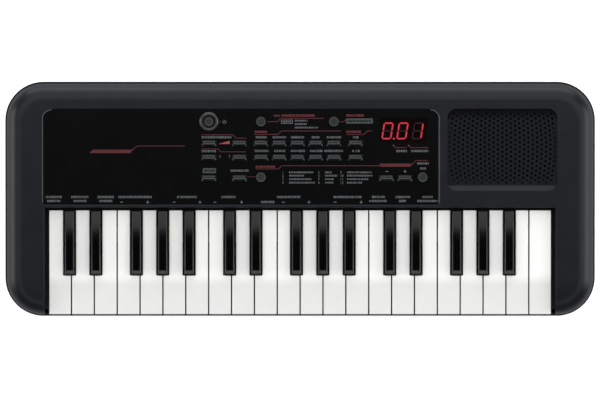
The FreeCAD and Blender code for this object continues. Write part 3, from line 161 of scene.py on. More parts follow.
case_finish = moulded("case_plastic", CASE_GREY, 0.31, grain=0.35 * MM, depth=0.008 * MM,
                      specular=0.23)
tub_finish = moulded("tub_plastic", TUB_GREY, 0.50, grain=0.45 * MM, depth=0.03 * MM,
                     specular=0.2)
panel_finish = moulded("panel_gloss", PANEL_BLACK, 0.09, depth=0, patch_size=40 * MM,
                       roughness_spread=0.012)
grille_finish = moulded("grille_plastic", GRILLE_GREY, 0.40, grain=0.35 * MM, depth=0.010 * MM,
                        specular=0.12)
black_finish = moulded("black_key_plastic", KEY_BLACK, 0.12, grain=0.5 * MM, depth=0.001 * MM,
                       spread=0.1, roughness_spread=0.02, specular=0.36)
button_finish = moulded("button_plastic", BUTTON_GREY, 0.40, depth=0.006 * MM, specular=0.30)
# Painted shade and painted highlight: the caps' slopes take a darker grey and their top edges a
# lighter grey.
cap_shade_finish = moulded("button_painted_shade", CAP_SHADE_GREY, 0.45, depth=0.006 * MM, specular=0.15)
cap_highlight_finish = moulded("button_painted_highlight", CAP_HIGHLIGHT_GREY, 0.34, depth=0.003 * MM)

# %% [markdown]
# ## Finishes that change along an axis
#
# Some surfaces differ from one end to the other: the white keys are painted
# lighter between the black keys, where shade falls, and the grille is painted
# darker where its recess shades it. The share of the way between two places on
# an axis comes from the Object coordinates, and it mixes one colour or one gloss
# into the other.

# %% Shares along an axis
def share_along(material, axis, start, end, full=1, slope=0):
    """A socket that runs softly from 0 at start to full at end along an axis.
    With a slope, heights are measured along a plane that rises with Y."""
    tree = material.node_tree
    link = tree.links.new
    place = next(node for node in tree.nodes if node.type == "TEX_COORD")
    parts = tree.nodes.new("ShaderNodeSeparateXYZ")
    link(place.outputs["Object"], parts.inputs[0])
    turned = start > end
    share = add_node(tree, "ShaderNodeMapRange", From_Min=min(start, end),
                     From_Max=max(start, end), To_Min=full if turned else 0,
                     To_Max=0 if turned else full)
    share.interpolation_type = "SMOOTHSTEP"
    value = parts.outputs[axis]
    if slope:
        level = tree.nodes.new("ShaderNodeMath")
        level.operation = "MULTIPLY_ADD"
        level.inputs[1].default_value = -slope
        link(parts.outputs["Y"], level.inputs[0])
        link(value, level.inputs[2])
        value = level.outputs[0]
    link(value, share.inputs["Value"])
    return share.outputs["Result"]


def combine(tree, operation, first, second):
    """A socket that joins two others: their product, or the larger of them."""
    joined = tree.nodes.new("ShaderNodeMath")
    joined.operation = operation
    tree.links.new(first, joined.inputs[0])
    tree.links.new(second, joined.inputs[1])
    return joined.outputs[0]


def fade_colour(material, share, colour):
    """Mixes a colour into a finish by a share."""
    tree = material.node_tree
    shader = tree.nodes["Principled BSDF"]
    mix = tree.nodes.new("ShaderNodeMix")
    mix.data_type = "RGBA"
    mix.inputs["B"].default_value = (*colour, 1)
    tree.links.new(share, mix.inputs["Factor"])
    tree.links.new(shader.inputs["Base Color"].links[0].from_socket, mix.inputs["A"])
    tree.links.new(mix.outputs["Result"], shader.inputs["Base Color"])


def fade_specular(material, share, level):
    """Lowers or raises the strength of a finish's reflections by a share."""
    tree = material.node_tree
    strength = tree.nodes["Principled BSDF"].inputs["Specular IOR Level"]
    mix = tree.nodes.new("ShaderNodeMix")
    mix.inputs["A"].default_value = strength.default_value
    if strength.links:
        tree.links.new(strength.links[0].from_socket, mix.inputs["A"])
    mix.inputs["B"].default_value = level
    tree.links.new(share, mix.inputs["Factor"])
    tree.links.new(mix.outputs["Result"], strength)


# %% [markdown]
# ## Case, grille and white keys
#
# The case's shoulder turns matt where it comes down to the side wall, which
# looks like the tub below it, and it is a little less glossy round its front
# corners. The grille is painted darker towards the back, a painted shade of its
# recess. The stretch between the black keys is painted lighter than the fronts,
# to make up for the shade that the black keys and the cheeks cast there, and a
# fine dark line of painted shade marks the shaded front face of every white key.
# A second material for each of these would leave a seam, so one finish fades.

# %% Fades of the case
SATIN_FROM = DECK_HEIGHT - 6.2 * MM
MATT_UP_TO = DECK_HEIGHT - 9.4 * MM
SHOULDER_END = DECK_HEIGHT - 14.0 * MM
WALL_TOP = DECK_HEIGHT - 15.5 * MM
GLOSSY_FROM = -66 * MM
DULLER_AT = -90 * MM
CORNER_DULLNESS = 0.45
MATT_SPECULAR = 0.0
WALL_SPECULAR = 0.2
RISE = math.tan(DECK_TILT)
side_share = share_along(case_finish, "Z", SATIN_FROM, MATT_UP_TO, slope=RISE)
wall_share = share_along(case_finish, "Z", SHOULDER_END, WALL_TOP, slope=RISE)
front_share = share_along(case_finish, "Y", GLOSSY_FROM, DULLER_AT, full=CORNER_DULLNESS)
matt_share = combine(case_finish.node_tree, "MAXIMUM", side_share, front_share)
fade_specular(case_finish, matt_share, MATT_SPECULAR)
fade_specular(case_finish, wall_share, WALL_SPECULAR)
fade_colour(case_finish, side_share, TUB_GREY)
print("case turns matt", round((SATIN_FROM - MATT_UP_TO) / MM, 2), "mm along its shoulder")

# %% Fades of the grille and the white keys
# Painted shade: the grille darkens and loses gloss towards its rear edge, where the recess wall
# shades it.
PAINTED_RECESS_SHADE = (0.0016, 0.0018, 0.0022)
SHADE_SPECULAR = 0.03
SHADE_FROM = 66 * MM
SHADE_AT = 77 * MM
painted_shade_share = share_along(grille_finish, "Y", SHADE_FROM, SHADE_AT)
fade_colour(grille_finish, painted_shade_share, PAINTED_RECESS_SHADE)
fade_specular(grille_finish, painted_shade_share, SHADE_SPECULAR)

KEY_WHITE = (0.725, 0.725, 0.71)
# Painted light: the white keys turn lighter behind their fronts, between the black keys, to make
# up for the shade that falls there.
PAINTED_LIGHT_WHITE = (0.93, 0.93, 0.91)
PLAIN_WHITE_UP_TO = -76 * MM
PAINTED_LIGHT_FROM = -62 * MM
# Painted shade: a dark line along the top of each white key's front face, where that face lies in
# shade.
FRONT_SHADE_GREY = (0.10, 0.10, 0.10)
FRONT_SHADE_FROM = -98.75 * MM
FRONT_SHADE_AT = -98.95 * MM
FRONT_TOP = 37.3 * MM
FRONT_LOW = 36.6 * MM


def white_key_finish():
    """White plastic, painted lighter between the black keys to offset their shade, with a painted
    shade line along the front edge.
    """
    material = moulded("white_key_plastic", KEY_WHITE, 0.26, grain=1.2 * MM, depth=0.002 * MM,
                       spread=0.012, roughness_spread=0.03)
    fade_colour(material, share_along(material, "Y", PLAIN_WHITE_UP_TO, PAINTED_LIGHT_FROM), PAINTED_LIGHT_WHITE)
    edge = combine(material.node_tree, "MULTIPLY",
                   share_along(material, "Y", FRONT_SHADE_FROM, FRONT_SHADE_AT),
                   share_along(material, "Z", FRONT_LOW, FRONT_TOP))
    fade_colour(material, edge, FRONT_SHADE_GREY)
    return material


white_finish = white_key_finish()

# %% [markdown]
# ## Hidden and half-hidden parts
#
# What shows only through the grille, the sockets or an open cover still gets
# a real finish: green boards, pale rubber domes, bright contacts, paper-black
# speaker.

# %% Finishes of the inner parts
DISPLAY_DARK = (0.0036, 0.0010, 0.0012)
BOARD_GREEN = (0.010, 0.075, 0.030)
SPEAKER_BLACK = (0.006, 0.006, 0.006)
FRAME_GREY = (0.012, 0.012, 0.013)
DOME_GREY = (0.28, 0.29, 0.28)
SOFT_BLACK = (0.012, 0.012, 0.012)
CELL_GREY = (0.10, 0.11, 0.12)
STEEL_GREY = (0.55, 0.56, 0.58)

board_finish = moulded("circuit_board_lacquer", BOARD_GREEN, 0.30, grain=2 * MM, depth=0.01 * MM)
speaker_finish = moulded("speaker_paper", SPEAKER_BLACK, 0.75, grain=0.5 * MM, depth=0.05 * MM)
frame_finish = moulded("key_frame_plastic", FRAME_GREY, 0.5)
dome_finish = moulded("contact_rubber", DOME_GREY, 0.65, grain=0.6 * MM)
socket_finish = moulded("socket_plastic", SOFT_BLACK, 0.45)
cell_finish = moulded("cell_wrap", CELL_GREY, 0.25, grain=3 * MM, depth=0.004 * MM)
foot_finish = moulded("foot_rubber", SOFT_BLACK, 0.8, grain=0.25 * MM, depth=0.03 * MM)
display_finish = moulded("display_face", DISPLAY_DARK, 0.12, depth=0, spread=0.2, specular=0.2)
steel_finish = moulded("plated_steel", STEEL_GREY, 0.28, grain=0.2 * MM, depth=0.003 * MM)
steel_finish.node_tree.nodes["Principled BSDF"].inputs["Metallic"].default_value = 1

NODE_FINISHES = {
    "upper_case": case_finish, "lower_case": tub_finish, "battery_cover": tub_finish,
    "control_panel": panel_finish, "speaker_grille": grille_finish, "speaker": speaker_finish,
    "side_buttons": button_finish, "voice_buttons": button_finish, "phrase_buttons": button_finish,
    "round_buttons": button_finish, "power_button": button_finish, "panel_board": board_finish,
    "led_display": display_finish, "key_frame": frame_finish, "contact_board": board_finish,
    "contact_rubber": dome_finish, "main_board": board_finish, "usb_socket": steel_finish,
    "phones_socket": socket_finish, "batteries": cell_finish, "battery_contacts": steel_finish,
    "case_screws": steel_finish, "rubber_feet": foot_finish,
}


def is_black_key(name):
    """Whether a node is a black key: its name has an s for sharp."""
    return name.startswith("key_") and name[5] == "s"


def finish_of(name):
    """The finish of a node of the frame."""
    key_finish = black_finish if is_black_key(name) else white_finish
    return NODE_FINISHES.get(name, key_finish)


for name, node in frame["nodes"].items():
    node.data.materials.clear()
    node.data.materials.append(finish_of(name))
print(len(frame["nodes"]), "nodes finished")

# %% [markdown]
# ## Pieces laid out on the deck
#
# New pieces are drawn flat, in the deck's frame, and raised to their thickness.
# One helper then tilts a finished mesh onto the deck, makes an object of it
# and lets it ride on a body, so that it moves with what carries it.

# %% Make a piece
def make_piece(name, sheet, finishes, body="case"):
    """Makes a piece from a bmesh in the deck's frame and lets it ride."""
    sheet.transform(DECK)
    mesh = bpy.data.meshes.new(name)
    sheet.to_mesh(mesh)
    sheet.free()
    if "custom_normal" in mesh.attributes:
        mesh.attributes.remove(mesh.attributes["custom_normal"])
    for finish in finishes:
        mesh.materials.append(finish)
    piece = bpy.data.objects.new(name, mesh)
    bpy.context.scene.collection.objects.link(piece)
    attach(piece, body)
    print(name, len(mesh.polygons), "faces")
    return piece


# %% Draw flat faces
def patch(sheet, corners):
    """A flat face with these corners, given as places on the deck."""
    return sheet.faces.new([sheet.verts.new(corner) for corner in corners])


def oblong(sheet, left, right, low, high):
    """A flat oblong between pixels of the photograph; low and high are rows."""
    return patch(sheet, [spot(place) for place in
                         ((left, high), (right, high), (right, low), (left, low))])


def stripe(sheet, places, width):
    """A flat stripe along some pixels, with its corners mitred."""
    points = [spot(place) for place in places]
    rails = []
    for index, point in enumerate(points):
        before = (point - points[index - 1]).normalized() if index else None
        after = (points[index + 1] - point).normalized() if index + 1 < len(points) else None
        along = ((before or after) + (after or before)).normalized()
        across = Vector((-along.y, along.x, 0))
        reach = width * PIXEL / 2 / along.dot(after or before)
        rails.append((sheet.verts.new(point + across * reach),
                      sheet.verts.new(point - across * reach)))
    for start, end in zip(rails, rails[1:]):
        sheet.faces.new((start[0], start[1], end[1], end[0]))


# %% Make the faces solid
def raise_faces(sheet, low, high):
    """Lays all the flat faces at low and makes them solid up to high."""
    bmesh.ops.translate(sheet, verts=sheet.verts, vec=(0, 0, low))
    raised = bmesh.ops.extrude_face_region(sheet, geom=sheet.faces[:], use_keep_orig=True)
    tops = [item for item in raised["geom"] if isinstance(item, bmesh.types.BMVert)]
    bmesh.ops.translate(sheet, verts=tops, vec=(0, 0, high - low))
    bmesh.ops.recalc_face_normals(sheet, faces=sheet.faces)


# %% Copy a node
MERGE_DISTANCE = 0.001 * MM
FLAT_WITHIN = math.radians(0.5)


def flat_copy(name):
    """A copy of a node's mesh, merged and laid flat in the deck's frame."""
    sheet = bmesh.new()
    sheet.from_mesh(frame["nodes"][name].data)
    bmesh.ops.remove_doubles(sheet, verts=sheet.verts, dist=MERGE_DISTANCE)
    bmesh.ops.dissolve_limit(sheet, angle_limit=FLAT_WITHIN, verts=sheet.verts,
                             edges=sheet.edges)
    sheet.transform(DECK.inverted())
    sheet.normal_update()
    return sheet


# %% [markdown]
# ## The panel itself
#
# A gloss shows every slip of a surface's shading. A merged copy of the panel
# with flat faces on its top takes the frame's place, so that its reflections
# run undisturbed between the buttons.

# %% Flat gloss panel
LEVEL = 0.99
ROUNDING_AREA = 12 * MM * MM
PANEL_SHARP = math.radians(30)

sheet = flat_copy("control_panel")
for face in sheet.faces:
    face.smooth = abs(face.normal.z) < LEVEL and face.calc_area() < ROUNDING_AREA
panel = make_piece("control_panel_top", sheet, [panel_finish])
panel.data.set_sharp_from_angle(angle=PANEL_SHARP)
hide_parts("control_panel")

# %% [markdown]
# ## Inks
#
# The panel's printing is a thin film of ink: a muted red for the lines, a
# brighter red and a pale grey for the small marks. It sits on the gloss as
# very thin solids, because a solid stays put at every pose and needs no
# image. The film is a little thicker in some places than in others, which the
# noise in the colour shows.

# %% Ink finishes
LINE_RED = (0.050, 0.0095, 0.0150)
BAR_RED = (0.077, 0.0150, 0.0170)
BRIGHT_RED = (0.122, 0.021, 0.025)
WEDGE_RED = (0.300, 0.050, 0.058)
PALE_GREY = (0.080, 0.087, 0.091)
DIM_GREY = (0.031, 0.039, 0.041)


def ink(name, colour, roughness=0.35, patch_size=6 * MM, spread=0.12, specular=0.3):
    """A thin film of ink: soft patches and no grain."""
    return moulded(name, colour, roughness, depth=0, patch_size=patch_size, spread=spread,
                   specular=specular)


red_ink = ink("red_ink", LINE_RED, patch_size=9 * MM, spread=0.15, specular=0.25)
bar_ink = ink("bar_ink", BAR_RED, patch_size=9 * MM, spread=0.15, specular=0.25)
bright_red_ink = ink("bright_red_ink", BRIGHT_RED)
wedge_ink = ink("wedge_ink", WEDGE_RED)
pale_ink = ink("pale_ink", PALE_GREY, roughness=0.38, spread=0.15, specular=0.5)
dim_ink = ink("dim_ink", DIM_GREY, roughness=0.38, spread=0.1, specular=0.5)

# %% [markdown]
# ## Red lines of the panel
#
# Each group of buttons is marked by a thin line that steps up or down by a
# short slanted run. Two of the lines start as a broad bar. A stripe follows
# the line's corners with mitred joints, so that its width stays even.

# %% Places of the lines
LINE_WIDTH = 0.95
LINK_WIDTH = 0.75 * LINE_WIDTH
RED_LINES = [
    [(130.6, 151.2), (137.6, 146.0), (185.0, 146.0)],
    [(201.7, 134.8), (232.5, 134.8), (236.2, 138.2), (246.6, 138.2)],
    [(201.7, 148.9), (218.1, 148.9), (220.8, 151.8), (245.9, 151.8)],
    [(267.3, 121.7), (277.6, 121.7), (280.7, 118.4), (323.3, 118.4)],
    [(254.3, 134.4), (278.0, 134.4), (281.4, 131.0), (340.9, 131.0)],
    [(255.9, 168.9), (278.6, 168.9), (281.7, 165.7), (380.2, 165.7)],
    [(411.6, 164.8), (415.7, 160.5), (427.7, 160.5)],
    [(346.4, 134.5), (363.7, 134.5), (367.1, 131.0), (371.8, 131.0)],
    [(393.5, 145.7), (395.8, 147.6), (406.2, 147.6)],
    [(408.6, 145.7), (410.9, 147.6), (428.2, 147.6)],
]
RED_BARS = [
    [(92.9, 149.7), (133.4, 149.7), (130.6, 153.1), (89.9, 153.1)],
    [(379.8, 163.5), (412.6, 163.5), (410.2, 166.7), (379.8, 166.7)],
]
LINK_LINES = [
    [(247.2, 176.8), (256.6, 176.8)],
    [(338.6, 121.8), (343.5, 121.8), (347.0, 118.5)],
    [(218.9, 121.9), (221.6, 121.9)],
]

# %% Red lines and bars
PANEL_TOP = -0.40 * MM
INK_BOTTOM = PANEL_TOP - 0.01 * MM
LINE_TOP = PANEL_TOP + 0.03 * MM
BAR_TOP = PANEL_TOP + 0.025 * MM

sheet = bmesh.new()
for places in RED_LINES:
    stripe(sheet, places, LINE_WIDTH)
for places in LINK_LINES:
    stripe(sheet, places, LINK_WIDTH)
raise_faces(sheet, INK_BOTTOM, LINE_TOP)
make_piece("panel_red_lines", sheet, [red_ink])

sheet = bmesh.new()
for places in RED_BARS:
    patch(sheet, [spot(place) for place in places])
raise_faces(sheet, INK_BOTTOM, BAR_TOP)
make_piece("panel_red_bars", sheet, [bar_ink])

# %% [markdown]
# ## Rows of small marks
#
# Beside each button the panel carries fine print. Here its place is kept by
# rows of plain little blocks, which give the same grey texture from a normal
# viewing distance and say nothing. A seeded random width keeps the rows lively
# and the same on every run.

# %% A row of blocks
MARK_WIDTHS = (0.5, 1.2)
MARK_GAPS = (0.45, 0.7)
MARK_RISES = (1.0, 1.0, 0.85)
LEAST_MARK = 0.4
BIG = 2.3
SMALL = 1.8
rng = random.Random(37)


def mark_row(sheet, left, right, row, height=BIG):
    """Small plain blocks from left to right, centred on a row of pixels."""
    x = left
    while x < right - LEAST_MARK:
        width = rng.uniform(*MARK_WIDTHS)
        rise = height * rng.choice(MARK_RISES)
        oblong(sheet, x, min(x + width, right), row - rise / 2, row + rise / 2)
        x += width + rng.uniform(*MARK_GAPS)


# %% Places of the pale marks
PALE_ROWS = [
    (202.0, 231.5, 137.3), (202.0, 216.0, 151.1), (230.8, 248.9, 170.6),
    (295.0, 307.4, 120.7, SMALL), (295.0, 307.0, 124.1, SMALL), (295.0, 318.6, 127.6, SMALL),
    (255.9, 267.0, 137.3), (272.8, 286.3, 137.3), (291.2, 304.1, 137.3),
    (311.8, 320.2, 137.3), (326.8, 341.1, 137.3), (353.0, 358.8, 137.3),
    (254.8, 268.4, 150.9), (274.4, 285.3, 150.9), (291.0, 304.8, 150.9),
    (310.0, 322.3, 150.9), (324.4, 343.6, 150.9),
    (396.1, 406.7, 151.0), (411.0, 428.7, 151.0), (417.0, 428.7, 163.4),
    (420.0, 426.0, 168.4),
    (45.9, 62.2, 196.9), (47.5, 60.6, 200.9),
    (71.7, 89.3, 196.9), (74.0, 87.0, 200.9),
    (98.0, 114.2, 196.9), (99.5, 112.7, 200.9),
    (118.6, 152.5, 196.9), (177.3, 197.0, 196.9), (221.5, 235.5, 196.9),
    (277.1, 300.3, 196.9), (333.6, 362.1, 196.9), (261.0, 275.4, 201.9),
    (369.1, 387.2, 200.9), (371.9, 384.7, 196.9),
    (395.6, 410.0, 196.9), (398.9, 406.3, 200.9),
    (422.4, 432.8, 196.9), (417.0, 437.1, 200.9),
]

# %% Pale marks
LIST_ROWS = (172.3, 175.6, 179.1, 182.6)
LIST_NAMES = ((289.2, (314.0, 304.0, 311.5, 314.5)), (325.0, (331.5, 337.1, 333.5, 333.5)),
              (347.0, (371.5, 372.2, 368.0, 362.0)))

sheet = bmesh.new()
for marks in PALE_ROWS:
    mark_row(sheet, *marks)
for left, ends in LIST_NAMES:
    for row, right in zip(LIST_ROWS, ends):
        mark_row(sheet, left, right, row, SMALL)
raise_faces(sheet, INK_BOTTOM, LINE_TOP)
make_piece("panel_pale_marks", sheet, [pale_ink])

# %% [markdown]
# ## Red marks
#
# Headings above the lines, two dots below the display and a wedge that stands
# for loudness are in brighter reds. The wedge is the brightest, because it is
# so small. Each ink has a sheet of its own.

# %% Red marks
RED_ROWS = [
    (254.9, 267.0, 131.8), (281.7, 314.7, 115.6), (274.0, 279.8, 115.8, SMALL),
    (255.9, 275.7, 166.7), (346.4, 363.8, 115.5), (346.4, 361.1, 131.8),
]
RED_DOTS = ((393.4, 145.6), (408.5, 145.6))
DOT_HALF = 0.8

sheet = bmesh.new()
for marks in RED_ROWS:
    mark_row(sheet, *marks)
for x, y in RED_DOTS:
    oblong(sheet, x - DOT_HALF, x + DOT_HALF, y - DOT_HALF, y + DOT_HALF)
raise_faces(sheet, INK_BOTTOM, LINE_TOP)
make_piece("panel_red_marks", sheet, [bright_red_ink])

# %% Volume wedge
VOLUME_WEDGE = ((218.6, 144.0), (229.8, 144.0), (229.8, 140.85), (229.3, 140.95))

sheet = bmesh.new()
patch(sheet, [spot(place) for place in VOLUME_WEDGE])
raise_faces(sheet, INK_BOTTOM, LINE_TOP)
make_piece("panel_volume_wedge", sheet, [wedge_ink])

# %% [markdown]
# ## Signs
#
# A minus, a plus, a power sign and the record, play and stop signs are plain
# signs that any such panel has. Their strokes are stripes and their filled
# forms are flat faces, all in one sheet, because they share an ink.

# %% Plus, minus and power signs
SIGN_ROW = 202.1
MINUS_PLACES = [(x, SIGN_ROW) for x in (121.9, 174.3, 215.1, 283.4, 335.1)] + [(386.7, 171.3)]
PLUS_PLACES = [(x, SIGN_ROW) for x in (147.9, 200.1, 241.7, 309.0, 361.1)] + [(405.0, 171.3)]
SIGN_REACH = 1.4
SIGN_STROKE = 0.8
POWER_SIGN = (224.5, 121.9)
POWER_RADIUS = 1.55
POWER_STROKE = 0.6
POWER_BAR = (-2.0, -0.3)
POWER_OPENING = 80
POWER_STEPS = 14


def add_power_sign(sheet):
    """A circle that is open at the top, with a short bar in the opening."""
    x, y = POWER_SIGN
    turns = [math.radians(POWER_OPENING / 2 + (360 - POWER_OPENING) * step / POWER_STEPS)
             for step in range(POWER_STEPS + 1)]
    stripe(sheet, [(x + POWER_RADIUS * math.sin(turn), y - POWER_RADIUS * math.cos(turn))
                   for turn in turns], POWER_STROKE)
    stripe(sheet, [(x, y + end) for end in POWER_BAR], POWER_STROKE)


sheet = bmesh.new()
for x, y in MINUS_PLACES + PLUS_PLACES:
    stripe(sheet, [(x - SIGN_REACH, y), (x + SIGN_REACH, y)], SIGN_STROKE)
for x, y in PLUS_PLACES:
    for side in (-1, 1):
        arm = [(x, y + side * SIGN_STROKE / 2), (x, y + side * SIGN_REACH)]
        stripe(sheet, arm, SIGN_STROKE)
add_power_sign(sheet)

# %% Record, play and stop signs, a framed sign and two angles
PLAY_SIGN = ((352.4, 149.8), (352.4, 152.2), (354.6, 151.0))
SLASH = ((355.6, 152.3), (356.8, 149.7))
SLASH_STROKE = 0.55
STOP_SIGN = (357.6, 359.5, 150.0, 152.0)
SIGN_FRAME = (281.1, 292.9, 119.8, 123.8)
FRAME_EDGE = 0.6
FRAME_MARKS = (282.8, 291.4, 121.8, 1.6)
ANGLE_TIPS = ((219.8, 1), (230.0, -1))
ANGLE_ROWS = (155.0, 156.4, 157.8)
ANGLE_REACH = 1.0
ANGLE_STROKE = 0.5


def frame_lines(sheet, left, right, low, high, edge):
    """The four sides of an oblong frame."""
    oblong(sheet, left, right, low, low + edge)
    oblong(sheet, left, right, high - edge, high)
    oblong(sheet, left, left + edge, low + edge, high - edge)
    oblong(sheet, right - edge, right, low + edge, high - edge)


patch(sheet, [spot(place) for place in PLAY_SIGN])
stripe(sheet, SLASH, SLASH_STROKE)
oblong(sheet, *STOP_SIGN)
frame_lines(sheet, *SIGN_FRAME, FRAME_EDGE)
mark_row(sheet, *FRAME_MARKS)
for tip, side in ANGLE_TIPS:
    end = tip + side * ANGLE_REACH
    stripe(sheet, list(zip((end, tip, end), ANGLE_ROWS)), ANGLE_STROKE)
raise_faces(sheet, INK_BOTTOM, LINE_TOP)
make_piece("panel_signs", sheet, [pale_ink])

# %% [markdown]
# ## Filled plates
#
# Two rows of blocks stand dark on a pale plate. The plate is the thinner film,
# so the blocks stay on top.

# %% Filled plates with dark marks
FILLED_PLATES = ((202.9, 216.1, 168.1, 173.1), (346.0, 372.8, 118.5, 123.6))
PLATE_INSET = 1.2

sheet = bmesh.new()
for left, right, low, high in FILLED_PLATES:
    oblong(sheet, left, right, low, high)
raise_faces(sheet, INK_BOTTOM, BAR_TOP)
make_piece("panel_plates", sheet, [dim_ink])
sheet = bmesh.new()
for left, right, low, high in FILLED_PLATES:
    mark_row(sheet, left + PLATE_INSET, right - PLATE_INSET, (low + high) / 2)
raise_faces(sheet, INK_BOTTOM, LINE_TOP)
make_piece("panel_plate_marks", sheet, [panel_finish])

# %% [markdown]
# ## Numbers
#
# A list on the panel is numbered. Figures are curved, so Blender's own text
# draws them, and a mesh takes its place at once.

# %% Numbers of the list
NUMBER_COLUMNS = (282.0, 317.9, 340.0)
NUMBER_HEIGHT = 2.5
FIGURE_SHARE = 0.7


def add_text(sheet, words, place, height):
    """Plain figures as flat faces; place is the pixel at their lower left."""
    curve = bpy.data.curves.new("figures", "FONT")
    curve.body = words
    curve.size = height * PIXEL / FIGURE_SHARE
    curve.resolution_u = 2
    holder = bpy.data.objects.new("figures", curve)
    mesh = bpy.data.meshes.new_from_object(holder)
    mesh.transform(Matrix.Translation(spot(place)))
    sheet.from_mesh(mesh)
    bpy.data.objects.remove(holder)
    bpy.data.curves.remove(curve)
    bpy.data.meshes.remove(mesh)


sheet = bmesh.new()
for column, left in enumerate(NUMBER_COLUMNS):
    for index, row in enumerate(LIST_ROWS):
        number = column * len(LIST_ROWS) + index + 1
        add_text(sheet, str(number), (left, row + NUMBER_HEIGHT / 2), NUMBER_HEIGHT)
raise_faces(sheet, INK_BOTTOM, LINE_TOP)
make_piece("panel_numbers", sheet, [pale_ink])

# %% [markdown]
# ## The light display
#
# Behind a dark window three figures are made of seven bars each. The lit bars
# glow red, and the unlit ones show faintly. Every bar is a flat lozenge, drawn
# upright and then sheared, as real figures lean a little.

# %% Bars of a figure
FIGURE_LEFTS = (383.1, 398.0, 413.2)
FIGURE_WIDTH = 8.6
FIGURE_ROWS = (123.2, 138.7)
FIGURE_LEAN = math.tan(math.radians(9.0))
BAR_THICKNESS = 1.55
BAR_GAP = 0.25
POINT_PLACE = (392.9, 394.6, 137.8, 139.5)
LIT_BARS = ("abcdef", "abcdef", "bc")
DISPLAY_FACE = max((DECK.inverted() @ vertex.co).z
                   for vertex in frame["nodes"]["led_display"].data.vertices)
print("display face", round(DISPLAY_FACE / MM, 3), "mm")


def bar_ends(left):
    """The middle line of each of a figure's seven bars, by letter."""
    top, bottom = FIGURE_ROWS
    middle = (top + bottom) / 2
    right = left + FIGURE_WIDTH
    return {"a": ((left, top), (right, top)), "b": ((right, top), (right, middle)),
            "c": ((right, middle), (right, bottom)), "d": ((left, bottom), (right, bottom)),
            "e": ((left, middle), (left, bottom)), "f": ((left, top), (left, middle)),
            "g": ((left, middle), (right, middle))}


def lozenge(sheet, start, end):
    """A flat bar from start to end whose two ends come to a point."""
    start, end = Vector(start), Vector(end)
    along = (end - start).normalized()
    across = Vector((-along.y, along.x)) * BAR_THICKNESS / 2
    gap = along * BAR_GAP
    nose = along * BAR_THICKNESS / 2
    corners = [start + gap, start + gap + nose + across, end - gap - nose + across,
               end - gap, end - gap - nose - across, start + gap + nose - across]
    middle = sum(FIGURE_ROWS) / 2
    patch(sheet, [spot((x + (middle - y) * FIGURE_LEAN, y)) for x, y in corners])


# %% Lit and unlit bars
LIT_RED = (0.33, 0.020, 0.036)
LIT_STRENGTH = 0.60
UNLIT_RED = (0.0135, 0.0048, 0.0060)
FIGURE_BOTTOM = DISPLAY_FACE - 0.01 * MM
FIGURE_TOP = DISPLAY_FACE + 0.03 * MM

lit_finish = moulded("lit_bar", LIT_RED, 0.3, depth=0, patch_size=1.5 * MM, spread=0.12,
                     specular=0.2)
lit_shader = lit_finish.node_tree.nodes["Principled BSDF"]
lit_shader.inputs["Emission Color"].default_value = (*LIT_RED, 1)
lit_shader.inputs["Emission Strength"].default_value = LIT_STRENGTH
unlit_finish = moulded("unlit_bar", UNLIT_RED, 0.3, depth=0, spread=0.2, specular=0.2)

lit_sheet = bmesh.new()
unlit_sheet = bmesh.new()
for left, lit in zip(FIGURE_LEFTS, LIT_BARS):
    for letter, (start, end) in bar_ends(left).items():
        lozenge(lit_sheet if letter in lit else unlit_sheet, start, end)
oblong(lit_sheet, *POINT_PLACE)
raise_faces(lit_sheet, FIGURE_BOTTOM, FIGURE_TOP)
raise_faces(unlit_sheet, FIGURE_BOTTOM, FIGURE_TOP)
make_piece("display_lit_bars", lit_sheet, [lit_finish])
make_piece("display_unlit_bars", unlit_sheet, [unlit_finish])

# %% [markdown]
# ## Button caps
#
# The caps are soft-touch plastic. Their top edges get a painted highlight, a
# lighter grey, and their slopes a painted shade, a darker grey. The frame's caps
# have the right shape, so each group gets a merged copy of it. Its top faces are
# inset and sunk by a hair, and the narrow border round them takes the painted
# highlight. The two front corners of a bar are cut off, and the cuts take the
# painted highlight too, as glints.

# %% Tell the faces of a cap
CAP_EDGE_HEIGHT = 1.5 * MM
CAP_TOP_AREA = 15 * MM * MM
CAP_LEVEL = 0.999
FRONT_FACING = 0.7
SIDE_FACING = 0.75
FRONT_LEAN = (0.5, 0.8)
SIDE_LEAN = (0.5, 0.6)
LEAST_CORNER = 1.5 * MM


def is_cap_top(face):
    """Whether a face is the level top of a cap."""
    return (face.normal.z > CAP_LEVEL and face.calc_center_median().z > CAP_EDGE_HEIGHT
            and face.calc_area() > CAP_TOP_AREA)


def is_front_corner(edge):
    """Whether an edge of a bar runs up between its front and one of its sides."""
    if len(edge.link_faces) != 2 or edge.calc_length() <= LEAST_CORNER:
        return False
    slopes = [face.normal for face in edge.link_faces]
    front = any(slope.y < -FRONT_FACING and FRONT_LEAN[0] < slope.z < FRONT_LEAN[1]
                for slope in slopes)
    side = any(abs(slope.x) > SIDE_FACING and SIDE_LEAN[0] < slope.z < SIDE_LEAN[1]
               for slope in slopes)
    return front and side


# %% Caps with light edges
CAP_GROUPS = ("side_buttons", "voice_buttons", "phrase_buttons", "round_buttons", "power_button")
RIM_WIDTH = 0.42 * MM
DISH_DEPTH = 0.10 * MM
CORNER_CUT = 0.8 * MM
# Face kinds of a cap: plain top, painted highlight on the rims and corner cuts, painted shade on
# the slopes.
PLAIN, HIGHLIGHT_FACES, SHADE_FACES = 0, 1, 2

